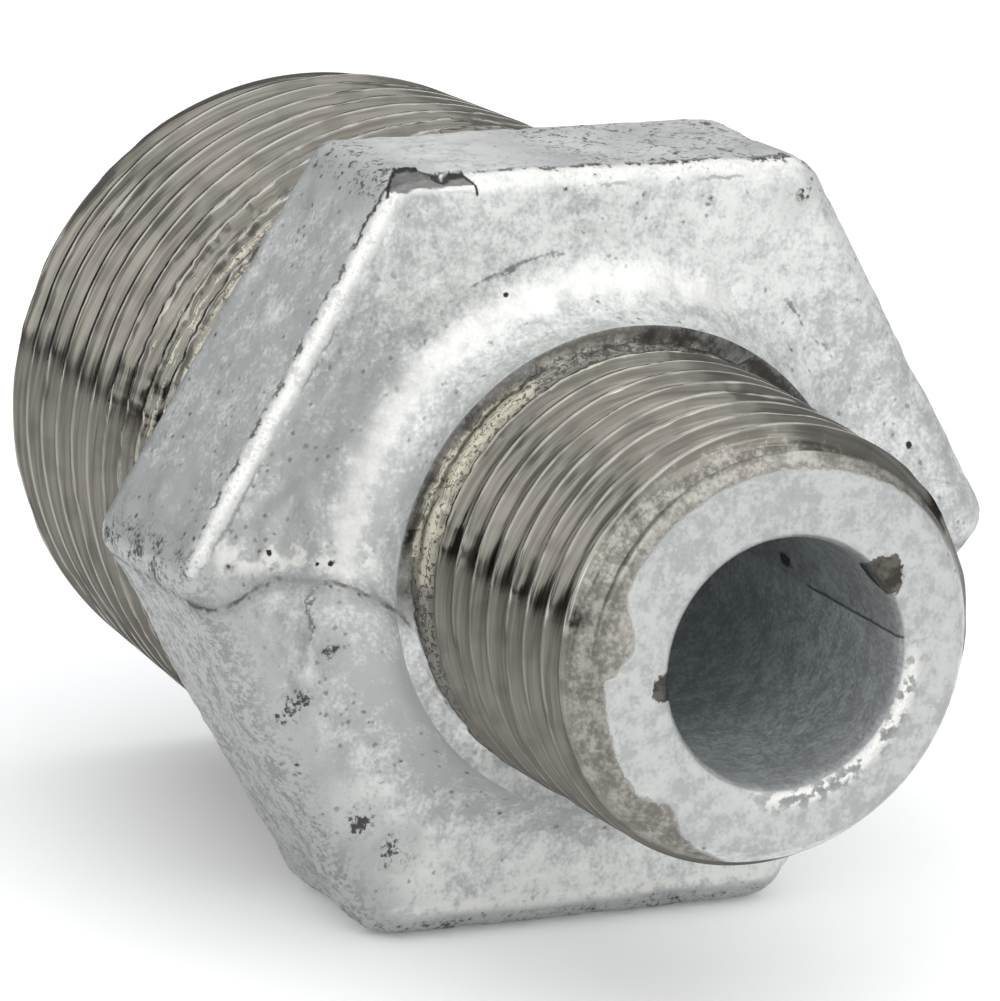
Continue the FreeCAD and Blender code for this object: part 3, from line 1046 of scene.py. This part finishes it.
def surface_spot(wiring, sizes):
    """What the finish knows of its place: millimetres from the axis, shares and noises."""
    place = wiring.scaled(Wire(wiring, wiring.node("ShaderNodeTexCoord").outputs["Object"]), 1 / MM)
    x, y, height = wiring.split(place)
    spot = SimpleNamespace(place=place, x=x, y=y, z=height - sizes.axis_height / MM)
    spot.radius = wiring.hypotenuse(y, spot.z)
    spot.iron_depth, spot.in_bore, spot.on_face = wiring.attribute("zone")
    spot.dirt, spot.edge, spot.edge_side = wiring.attribute("marks")
    # thick: share of the neck root's painted highlight, partly thick zinc.
    spot.thick, spot.root_crease, spot.soiled = wiring.attribute("lines")
    spot.slow, spot.slower, spot.cream = wiring.attribute("broad")
    spot.from_crest, spot.torn, spot.underside = wiring.attribute("thread")
    spot.grain = wiring.noise(place, scale=4.5, detail=2.0, roughness=0.6, seed=1.0)
    spot.mottle = wiring.noise(place, scale=1.15, detail=3.0, roughness=0.62, seed=2.0)
    spot.drift = spot.mottle - 0.5
    spot.speckle = spot.grain - 0.5
    spot.fray = spot.drift * 1.6 + spot.speckle * 0.8
    spot.patchy = wiring.ramp(spot.mottle, 0.40, 0.60)
    front = (sizes.hexagon_middle + sizes.hexagon_width / 2) / MM
    spot.on_front = wiring.over(x, front - 1.2) * wiring.under(x, front + sizes.neck_length / MM)
    spot.clear_of_large_end = wiring.over(x, front - sizes.hexagon_width / MM - 0.5)
    spot.flat = sizes.across_flats / 2 / MM
    spot.bore_depth = sizes.small_face / MM - x
    return spot


def zinc_meets_iron(wiring, spot, reach):
    """Share of the thin dark line where the coat ends at cut iron, a painted shadow of the coat's edge and
    partly a dark crack, except on the end face.
    """
    return wiring.stroke(spot.iron_depth + spot.fray * 0.3, reach) * (1.0 - spot.on_face)


def bright_zinc_and_highlights(wiring, spot):
    """Share of the painted highlight along the upper front edges, and share of all the thick bright zinc
    with the painted highlights.

    The rest of it is the painted highlight in the neck's root, partly thick zinc, and thick zinc above the
    parting crease on the left and along the bottom edge.
    """
    bead_and_highlight = wiring.fall(spot.edge + spot.fray * 0.9, 0.42, 0.88)
    bead_and_highlight = bead_and_highlight * wiring.ramp(spot.grain * 0.5 + spot.mottle * 0.5, 0.40, 0.54, 0.4, 1.0)
    # Painted highlight on the neck's root, partly thick zinc.
    root = wiring.ramp(spot.thick + spot.drift * 0.9, 0.25, 1.05) * 0.75
    rim = (wiring.stroke(spot.z - CREASE_RIM_HEIGHT - spot.fray * 0.7, 1.1)
           * wiring.ramp(spot.y, -19.8, -18.8) * wiring.fall(spot.y, -12.4, -11.6))
    bottom = (wiring.stroke(spot.z - BOTTOM_RIM_HEIGHT + spot.fray * 0.5, 0.34)
              * wiring.fall(abs(spot.y), 9.2, 10.2))
    patches = wiring.highest(rim, bottom) * spot.patchy * spot.on_front * 0.85
    return bead_and_highlight, wiring.highest(bead_and_highlight, root, patches)


def parting_line(wiring, spot):
    """Share of painted shade in the crease where the mould's halves met, with a short crack on the left."""
    crack_y, crack_z = CRACK_PLACE
    height = above_crease(wiring, spot.y, spot.z) + spot.fray * 0.3
    line = wiring.stroke(height, 0.19) * wiring.blend(spot.patchy, 0.15, 0.6)
    crack = (wiring.stroke(spot.y - crack_y + spot.fray * 0.9, 0.20)
             * wiring.stroke(spot.z - crack_z, 1.9) * spot.on_front)
    soft_shade = wiring.stroke(height + 0.1, 0.8) * 0.3
    line = wiring.highest(line, crack * 0.7) + soft_shade
    return line * wiring.ramp(abs(spot.y), PARTING_START, 11.2) * spot.clear_of_large_end


def painted_crease_shade(wiring, spot):
    """Share of painted shade: a painted shadow beside the upper front edges' highlight, the parting crease,
    the crease round the neck's root, and a dark crack line inside the highlight.
    """
    outer = wiring.ramp(spot.edge_side, 0.05, 0.25)
    torn_corner = wiring.ramp(spot.z, 14.8, 15.4) * wiring.fall(spot.y, -10.2, -9.6)
    broken = wiring.highest(wiring.ramp(spot.mottle, 0.44, 0.54) * 0.85, torn_corner)
    # Painted shadow on the outer side of the highlight.
    beside = wiring.stroke(spot.edge - 0.88 + spot.fray * 0.7, 0.20) * outer * broken
    within = (wiring.stroke(spot.edge - 0.90 + spot.fray * 0.4, 0.14) * (1.0 - outer)
              * wiring.ramp(spot.slow, 0.50, 0.60) * 0.5)
    # Painted shade in the crease round the neck's root.
    root = wiring.stroke(spot.root_crease + spot.fray * 0.2, 0.15) * 0.7
    return wiring.highest(beside, within, parting_line(wiring, spot), root)


def clouded_zinc(wiring, spot, finish):
    """Colour of the plain coat: pale and dark clouds, with painted light on the top and bottom of the front
    face, painted shade on the upper left, a painted shadow below the neck and a paler top flat.
    """
    # Painted shade on the upper left, and a painted shadow below the neck.
    upper_left = wiring.ramp(-spot.y, 4.0, 14.0) * wiring.ramp(spot.z, -3.0, 3.0)
    shadow_under_neck = (wiring.near(spot.radius, 12.0, 3.4) * wiring.ramp(-spot.z, 0.0, 6.0)
                  * spot.on_front)
    # Painted light on the top and bottom of the front face.
    painted_light = (wiring.highest(wiring.ramp(-spot.z, 6.0, 13.0), wiring.ramp(spot.z, 9.0, 14.0))
              * spot.on_front)
    clouds = spot.slow * 0.25 + spot.mottle * 0.42 + spot.grain * 0.33
    paler = painted_light * 0.06 + wiring.ramp(spot.z, 17.8, 18.3) * 0.04
    # Darker with soil and painted shade on the lower left, painted shade on the upper left and the painted
    # shadow below the neck.
    darker = (spot.soiled * 0.15 + upper_left * 0.06 + upper_left * spot.on_front * 0.03
              + shadow_under_neck * 0.15)
    return wiring.mix(wiring.ramp(clouds + paler - darker, 0.385, 0.64), finish.zinc_dark,
                      finish.zinc_light)


def soiled_zinc(wiring, spot, finish, zinc):
    """The coat's colour with its flecks, pits and soil, and the share of soil. The soil on the lower left
    is partly painted shade.
    """
    far, chance = wiring.cells(spot.place, scale=1.7, seed=5.0)
    likely = chance + (spot.slow - 0.5) * 1.2 + wiring.highest(spot.dirt, spot.soiled) * 0.4
    ragged = far + spot.fray * 0.35
    flecks = wiring.fall(ragged, 0.08, 0.26) * wiring.ramp(likely, 0.45, 0.65)
    pits = wiring.fall(ragged, 0.0, 0.09) * wiring.ramp(likely, 0.70, 0.80)
    clumps = spot.mottle * 0.55 + spot.grain * 0.45
    soil = wiring.highest(spot.dirt, spot.soiled * 0.9) * wiring.ramp(clumps, 0.44, 0.60)
    zinc = wiring.mix(wiring.highest(flecks * 0.6, soil * 0.65), zinc, finish.worn_zinc_and_shade)
    specks = wiring.ramp(spot.dirt * 0.5 + clumps, 0.94, 1.04)
    return wiring.mix(wiring.highest(pits * 0.9, specks * 0.85), zinc, finish.pit_black_and_shade), soil


def damaged_zinc(wiring, spot, finish, zinc):
    """The coat's colour with the chip in the top flat, a painted shadow along its back and side edges, and
    the front face's open pores.
    """
    inside, from_back = inside_chip(wiring, spot.x, spot.y, spot.z, spot.flat)
    # Painted shadow along the chip's back and side edges.
    on_back = wiring.stroke(from_back + spot.fray * 0.12, 0.24)
    on_side = (wiring.stroke(spot.y - CHIP_SIDE + spot.fray * 0.1, 0.16)
               * wiring.near(spot.x, 6.0, 1.0))
    chip_edge_shadow = wiring.highest(on_back, on_side) * wiring.ramp(inside, -0.3, -0.15)
    bed = wiring.mix(wiring.ramp(spot.mottle, 0.48, 0.95), finish.worn_zinc_and_shade, finish.zinc_dark)
    zinc = wiring.mix(wiring.ramp(inside + spot.fray * 0.12, 0.0, 0.08) * 0.9, zinc, bed)
    across = wiring.join(0.0, spot.y, spot.z)
    nearest_pore = wiring.lowest(*(wiring.far_from(across, (0.0, pore_y, pore_z)) / size
                                   for pore_y, pore_z, size in FACE_PORES))
    pores = wiring.fall(nearest_pore + spot.fray * 1.3, 0.7, 1.2) * spot.on_front
    return wiring.mix(wiring.highest(chip_edge_shadow, pores), zinc, finish.pit_black_and_shade)


def zinc_coat(wiring, spot, finish):
    """The zinc outside: clouded, with painted highlights, painted shade in each crease, flecks and damage.
    """
    zinc = clouded_zinc(wiring, spot, finish)
    zinc, soil = soiled_zinc(wiring, spot, finish, zinc)
    bead_and_highlight, bright = bright_zinc_and_highlights(wiring, spot)
    # Painted highlights on the upper front edges and in the neck's root, with patches of thick zinc.
    zinc = wiring.mix(bright, zinc, finish.bead_and_highlight)
    crease_shade = painted_crease_shade(wiring, spot)
    # Painted shade in each crease.
    zinc = wiring.mix(crease_shade * 0.9, zinc, wiring.mix(crease_shade, finish.worn_zinc_and_shade, finish.pit_black_and_shade))
    zinc = damaged_zinc(wiring, spot, finish, zinc)
    # Painted shadow where the coat ends at cut iron.
    zinc = wiring.mix(zinc_meets_iron(wiring, spot, 0.22) * 0.6, zinc, finish.worn_zinc_and_shade)
    rough = spot.speckle * 0.20 + 0.40 + soil * 0.15
    return wiring.surface(zinc, rough, 0.45 - bead_and_highlight * 0.3, spot.grain * 0.022)


def end_face_zinc(wiring, spot, finish):
    """Dull zinc on the small end's face, with a bright lumpy rim low on the bore's edge."""
    shade = spot.slow * 0.25 + spot.mottle * 0.5 + spot.grain * 0.25
    zinc = wiring.mix(wiring.ramp(shade, 0.37, 0.62), finish.zinc_dark, finish.zinc_face)
    zinc = wiring.mix(wiring.fall(shade, 0.42, 0.54) * 0.22, zinc, finish.worn_zinc_and_shade)
    towards_rim = spot.y * BORE_RIM_SIDE[0] + spot.z * BORE_RIM_SIDE[1]
    low_side = wiring.ramp(towards_rim / spot.radius, 0.50, 0.85)
    rim = wiring.near(spot.radius, BORE_RIM_RADIUS, 0.75) * low_side
    lumps = wiring.ramp(spot.mottle, 0.44, 0.52)
    zinc = wiring.mix(rim * lumps, zinc, finish.bead_and_highlight)
    zinc = wiring.mix(rim * (1.0 - lumps) * 0.5, zinc, finish.worn_zinc_and_shade)
    return wiring.surface(zinc, spot.speckle * 0.20 + 0.55 - rim * 0.2, 0.15,
                          spot.grain * 0.03 + spot.mottle * (rim * 0.3 + 0.12))


def bore_zinc(wiring, spot, finish):
    """Grey zinc in the bore, with painted shade near the mouth and above the core's seam, the seam and one
    open pore.
    """
    zinc = wiring.mix(wiring.ramp(spot.mottle * 0.5 + spot.grain * 0.5, 0.38, 0.66), finish.bore_dark,
                      finish.bore_light)
    # Painted shade near the mouth.
    zinc = wiring.mix(wiring.fall(spot.bore_depth, 0.5, 8.0) * 0.55, zinc, finish.worn_zinc_and_shade)
    right = wiring.over(spot.y, 0.0)
    above_seam = spot.z - SEAM_HEIGHT
    # Painted shade above the seam on the right.
    zinc = wiring.mix(wiring.ramp(above_seam, 0.0, 0.1) * right * 0.3, zinc, finish.worn_zinc_and_shade)
    seam = wiring.stroke(above_seam + spot.fray * 0.08, 0.11) * wiring.fall(spot.bore_depth, *SEAM_FADE)
    pore_depth, pore_height = BORE_PORE
    from_pore = wiring.hypotenuse((spot.bore_depth - pore_depth) * 0.5, spot.z - pore_height)
    pore = wiring.fall(from_pore + spot.fray * 0.3, 0.2, 0.4)
    zinc = wiring.mix(wiring.highest(seam * 0.8, pore) * right, zinc, finish.pit_black_and_shade)
    return wiring.surface(zinc, 0.6, 0.15, spot.grain * 0.05 + spot.mottle * 0.1)


def streaked_iron(wiring, spot, finish, streak):
    """Colour of the cut thread: streaked flanks, duller clouds and pale crests, pale from wear and from a
    painted highlight that is dimmed on the lower side.
    """
    iron = wiring.mix(wiring.ramp(streak, 0.32, 0.62, 0.2, 1.0), finish.iron_dark, finish.iron_middle)
    iron = wiring.mix(wiring.fall(spot.slower, 0.36, 0.52) * 0.22, iron, finish.grime_and_root_shade)
    # Painted highlight on the crests, dimmed on the lower side.
    crest = (wiring.fall(spot.from_crest + (streak - 0.5) * 0.05, 0.04, 0.12)
             * wiring.ramp(spot.slower, 0.34, 0.52, 0.45, 1.0) * (1.0 - spot.underside * 0.85)
             * (1.0 - spot.on_face) * wiring.ramp(spot.iron_depth, 0.1, 0.5))
    return wiring.mix(crest * 0.95, iron, finish.crest_iron_and_highlight)


def torn_iron(wiring, spot, finish, streak):
    """Colour of the torn first turns, and their share.

    It is cream with fine cracks on the left, and dark above and on the right. On the large thread
    the cream runs in lines along the turns.
    """
    lined = wiring.under(spot.x, 0.0) * wiring.fall(streak, 0.42, 0.56)
    cream = wiring.ramp(spot.cream + spot.drift * 0.8, 0.30, 0.75) * (1.0 - lined * 0.9)
    torn = wiring.mix(cream, wiring.mix(spot.grain * 1.2, finish.iron_dark, finish.lead_light),
                      finish.torn_light)
    cracks = wiring.highest(wiring.stroke(streak - 0.5 + spot.drift * 0.6, 0.03),
                            wiring.ramp(spot.grain, wiring.blend(spot.cream, 0.49, 0.56),
                                        wiring.blend(spot.cream, 0.57, 0.64)))
    torn = wiring.mix(cracks * 0.8, torn, finish.pit_black_and_shade)
    torn_share = (wiring.ramp(spot.torn + spot.fray * 0.5 + (streak - 0.5) * 0.9, 0.55, 0.95)
                  * wiring.ramp(spot.z, -7.0, -2.0, 0.25, 1.0))
    return torn, torn_share


def rough_lead(wiring, spot, finish, iron):
    """The iron's colour with the rough grey lead and the dark stains, and the lead's share."""
    from_lead = LEAD_REACH - spot.bore_depth + spot.fray * 0.8
    lead = wiring.highest(wiring.ramp(from_lead, 0.0, 0.8), spot.on_face)
    grey = wiring.mix(wiring.ramp(spot.mottle * 0.6 + spot.grain * 0.4, 0.40, 0.63),
                      finish.iron_middle, finish.lead_light)
    iron = wiring.mix(lead * 0.75, iron, grey)
    stained = spot.on_face * wiring.fall(spot.radius, 7.0, 7.8)
    return wiring.mix(stained, iron, wiring.mix(spot.patchy, finish.grime_and_root_shade, finish.iron_dark)), lead


def cut_iron(wiring, spot, finish):
    """Bare iron: streaked threads with painted shade in their roots, torn first turns and a rough lead."""
    streak = wiring.noise(wiring.join(spot.x * 8.0, spot.y * 0.14, spot.z * 0.14), scale=1.0,
                          detail=2.0, roughness=0.7, seed=10.0)
    iron = streaked_iron(wiring, spot, finish, streak)
    torn, torn_share = torn_iron(wiring, spot, finish, streak)
    iron = wiring.mix(torn_share * 0.85, iron, torn)
    small = wiring.over(spot.x, 0.0)
    # Painted shade towards the roots of the threads.
    iron = wiring.mix(wiring.ramp(spot.from_crest, 0.20, 0.40, small * 0.15, 0.6), iron, finish.grime_and_root_shade)
    # Painted shadow where the coat ends at cut iron.
    iron = wiring.mix(zinc_meets_iron(wiring, spot, 0.20) * 0.7, iron, finish.grime_and_root_shade)
    iron, lead = rough_lead(wiring, spot, finish, iron)
    rough = ((streak - 0.5) * 0.25 + 0.16 + torn_share * 0.25 + spot.underside * 0.20
             + lead * 0.25)
    return wiring.surface(iron, rough, 1.0, streak * 0.02)


def nipple_material(finish, sizes):
    """Zinc coat outside, on the end face and in the bore, with bare iron where it was cut."""
    material = bpy.data.materials.new("galvanised_iron")
    material.use_nodes = True
    material.node_tree.nodes.clear()
    wiring = Wiring(material.node_tree)
    spot = surface_spot(wiring, sizes)
    shader = wiring.overlaid(spot.on_face, zinc_coat(wiring, spot, finish),
                             end_face_zinc(wiring, spot, finish))
    shader = wiring.overlaid(wiring.ramp(spot.in_bore + spot.fray * 0.3, 0.35, 0.65), shader,
                             bore_zinc(wiring, spot, finish))
    bare = wiring.ramp(spot.iron_depth + spot.fray * wiring.blend(spot.on_face, 0.12, 0.5), -0.06, 0.06)
    shader = wiring.overlaid(bare, shader, cut_iron(wiring, spot, finish))
    wiring.plug(wiring.node("ShaderNodeOutputMaterial").inputs["Surface"], shader)
    return material


# Seeds of the node groups' noises.
WEAR_SEED = 5.0
SKIN_SEED = 11.0
SMALL_THREAD_SEED = 3.0
LARGE_THREAD_SEED = 7.0


def casting_places(sizes, material):
    """Places and sizes of the casting, by the names of the node groups' inputs."""
    front = sizes.hexagon_middle + sizes.hexagon_width / 2
    return {
        "Axis Y": 0.0, "Axis height": sizes.axis_height, "Front": front,
        "Back": sizes.hexagon_middle - sizes.hexagon_width / 2, "Neck end": front + sizes.neck_length,
        "Small face": sizes.small_face, "Large face": sizes.large_face,
        "Small bore": sizes.small_bore, "Large bore": sizes.large_bore,
        "Across flats": sizes.across_flats, "Draft slope": math.tan(sizes.mould_draft),
        "Lead heading": sizes.lead_heading, "Inner radius": sizes.neck_radius - 0.5 * MM,
        "Material": material}


def thread_values(sizes, threads, end, material):
    """Sizes of the small or the large thread, by the names of the node group's inputs."""
    mount = mounts[f"{end}_thread"]
    return {
        "Axis Y": threads.off_centre_y, "Axis height": sizes.axis_height + threads.off_centre_z,
        "Direction": mount["axis"][0], "Gauge place": mount["pos_m"][0],
        "Gauge radius": mount["dims"]["r_mm"] * MM, "Taper": threads.taper,
        "Pitch": getattr(threads, f"{end}_pitch"), "Depth": getattr(threads, f"{end}_depth"),
        "Torn length": getattr(threads, f"{end}_torn"),
        "Torn share": getattr(threads, f"{end}_torn_share"),
        "Crest width": threads.crest_width, "Crest wear": threads.crest_wear,
        "Run-out": threads.run_out, "Underside heading": threads.underside_heading,
        "Material": material}


class NIPPLE_OT_casting(Operator):
    """Make the nipple: casting, skin, both threads and finish"""

    bl_idname = "nipple.casting"
    bl_label = "Nipple"

    def execute(self, context):
        scene = context.scene
        sizes, threads, skin = scene.nipple_sizes, scene.nipple_threads, scene.nipple_skin
        material = nipple_material(scene.nipple_finish, sizes)
        piece = bpy.data.objects.new("nipple_casting", casting_mesh(sizes, threads))
        scene.collection.objects.link(piece)
        piece.data.materials.append(material)
        places = casting_places(sizes, material)
        add_nodes(piece, wear_map_group(), {**places, "Zinc edge": skin.zinc_edge, "Seed": WEAR_SEED})
        add_nodes(piece, casting_skin_group(), {
            **places, "Hollow depth": skin.hollow_depth, "Hollow size": skin.hollow_size,
            "Ripple depth": skin.ripple_depth, "Ripple size": skin.ripple_size,
            "Parting step": skin.parting_step, "Crease depth": skin.crease_depth,
            "Crease width": skin.crease_width, "Chip depth": skin.chip_depth, "Seed": SKIN_SEED})
        cutter = cut_thread_group()
        for end, start, seed in (("small", places["Neck end"], SMALL_THREAD_SEED),
                                 ("large", places["Back"], LARGE_THREAD_SEED)):
            values = thread_values(sizes, threads, end, material)
            add_nodes(piece, cutter, {**values, "Start": start, "Seed": seed})
        bake_down(piece)
        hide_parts(NODE)
        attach(piece, "root")
        return {"FINISHED"}


# The soft lights: name, place in metres, size in metres and power.
LIGHTS = [("overhead", (0.15, 0.0, 0.9), (1.2, 1.2), 4.0),
          ("left", (0.45, -0.72, 0.42), (1.0, 0.7), 2.6),
          ("front", (0.9, 0.25, 0.5), (0.9, 0.9), 3.6)]

# The black cards: name, heading in degrees, then distance, left end, right end and height in metres.
CARDS = [("flag_behind", -154, 0.14, -0.14, 0.012, 0.054),
         ("flag_in_front", -33, 0.22, -0.14, 0.14, 0.052)]

# Half the floor's width in metres.
FLOOR_REACH = 1.6


def camera_matrix(studio):
    """The camera's place and turn, from its azimuth, elevation, roll and distance."""
    across = math.cos(studio.elevation)
    back = Vector((math.sin(studio.azimuth) * across, -math.cos(studio.azimuth) * across,
                   math.sin(studio.elevation)))
    right = Vector((0, 0, 1)).cross(back).normalized()
    up = back.cross(right)
    turned = Matrix((right, up, back)).transposed() @ Matrix.Rotation(studio.roll, 3, "Z")
    return Matrix.Translation(Vector(studio.aim) + back * studio.distance) @ turned.to_4x4()


def add_light(name, place, aim, size, power):
    """A square soft light that faces a point."""
    lamp = bpy.data.lights.new(name, "AREA")
    lamp.shape = "RECTANGLE"
    lamp.size, lamp.size_y = size
    lamp.energy = power
    holder = bpy.data.objects.new(name, lamp)
    holder.location = place
    holder.rotation_euler = (Vector(place) - Vector(aim)).to_track_quat("Z", "Y").to_euler()
    bpy.context.scene.collection.objects.link(holder)


def plain_paint(name, base, roughness):
    """A material of one colour, and its shader."""
    paint = bpy.data.materials.new(name)
    paint.use_nodes = True
    shader = paint.node_tree.nodes["Principled BSDF"]
    shader.inputs["Base Color"].default_value = (*base, 1)
    shader.inputs["Roughness"].default_value = roughness
    return paint, shader


def flat_sheet(name, corners, paint):
    """A flat sheet with four corners."""
    mesh = bpy.data.meshes.new(name)
    mesh.from_pydata([tuple(corner) for corner in corners], [], [(0, 1, 2, 3)])
    mesh.materials.append(paint)
    sheet = bpy.data.objects.new(name, mesh)
    bpy.context.scene.collection.objects.link(sheet)
    return sheet


def add_floor(studio):
    """The pale floor. Its faint light of its own softens the shadow."""
    paint, shader = plain_paint("pale_floor", studio.floor_colour, 0.7)
    shader.inputs["Specular IOR Level"].default_value = 0.2
    shader.inputs["Emission Color"].default_value = (1, 1, 1, 1)
    shader.inputs["Emission Strength"].default_value = studio.floor_glow
    corners = [(x * FLOOR_REACH, y * FLOOR_REACH, 0) for x, y in ((-1, -1), (1, -1), (1, 1), (-1, 1))]
    floor = flat_sheet("floor", corners, paint)


def add_flag(name, paint, heading, distance, left, right, height):
    """A black card that stands on the floor, seen only as a dark band that the threads mirror."""
    out = Matrix.Rotation(math.radians(heading), 3, "Z") @ Vector((1, 0, 0))
    across = Vector((-out.y, out.x, 0))
    corners = [out * distance + across * left, out * distance + across * right]
    corners += [corner + Vector((0, 0, height)) for corner in reversed(corners)]
    flag = flat_sheet(name, corners, paint)
    flag.visible_camera = False
    flag.visible_shadow = False
    flag.visible_diffuse = False


def studio_world(studio):
    """Soft light all round above a dark strip on the horizon. The camera sees plain pale grey."""
    world = bpy.data.worlds.new("studio")
    world.use_nodes = True
    world.node_tree.nodes.clear()
    wiring = Wiring(world.node_tree)
    ray = Wire(wiring, wiring.node("ShaderNodeTexCoord").outputs["Generated"])
    rise = wiring.split(ray)[2]
    level = wiring.ramp(rise, studio.strip_top - studio.strip_blur,
                        studio.strip_top + studio.strip_blur, studio.strip_light,
                        studio.sky_light)
    seen = wiring.wire(wiring.node("ShaderNodeLightPath"))
    background = wiring.node("ShaderNodeBackground")
    wiring.plug(background.inputs["Color"], (*studio.sky_colour, 1.0))
    wiring.plug(background.inputs["Strength"], wiring.blend(seen, level, studio.backdrop))
    wiring.plug(wiring.node("ShaderNodeOutputWorld").inputs["Surface"], wiring.wire(background))
    return world


class NIPPLE_OT_studio(Operator):
    """Make the pale floor, the soft lights, the black cards and the camera"""

    bl_idname = "nipple.studio"
    bl_label = "Studio"

    def execute(self, context):
        scene = context.scene
        studio = scene.nipple_studio
        add_floor(studio)
        middle = (0, 0, (cad_low.z + cad_high.z) / 2)
        for name, place, size, power in LIGHTS:
            add_light(name, place, middle, size, power)
        black, _ = plain_paint("black_card", (0.01, 0.01, 0.01), 0.9)
        for name, *card in CARDS:
            add_flag(name, black, *card)
        scene.world = studio_world(studio)
        scene.view_settings.view_transform = "Standard"

        lens = bpy.data.cameras.new("camera")
        lens.lens = studio.lens
        lens.clip_start, lens.clip_end = 0.01, 10
        camera = bpy.data.objects.new("camera", lens)
        camera.matrix_world = camera_matrix(studio)
        scene.collection.objects.link(camera)
        scene.camera = camera
        return {"FINISHED"}


SETTINGS = {"nipple_sizes": NippleSizes, "nipple_threads": ThreadSizes, "nipple_skin": SkinSizes,
            "nipple_finish": NippleFinish, "nipple_studio": StudioSettings}


class NIPPLE_PT_panel(Panel):
    """Sidebar panel with the sizes and the operators"""

    bl_idname = "NIPPLE_PT_panel"
    bl_label = "Reducing nipple"
    bl_space_type = "VIEW_3D"
    bl_region_type = "UI"
    bl_category = "Nipple"

    def draw(self, context):
        layout = self.layout
        for group in SETTINGS:
            settings = getattr(context.scene, group)
            box = layout.box()
            for name in settings.bl_rna.properties.keys():
                if name not in ("rna_type", "name"):
                    box.prop(settings, name)
        for operator in (NIPPLE_OT_casting, NIPPLE_OT_studio):
            layout.operator(operator.bl_idname)


CLASSES = (*SETTINGS.values(), NIPPLE_OT_casting, NIPPLE_OT_studio, NIPPLE_PT_panel)


def register():
    for kind in CLASSES:
        bpy.utils.register_class(kind)
    for name, kind in SETTINGS.items():
        setattr(bpy.types.Scene, name, PointerProperty(type=kind))


def unregister():
    for name in SETTINGS:
        delattr(bpy.types.Scene, name)
    for kind in reversed(CLASSES):
        bpy.utils.unregister_class(kind)


def main():
    register()
    bpy.ops.nipple.casting()
    bpy.ops.nipple.studio()


if __name__ == "__main__":
    main()
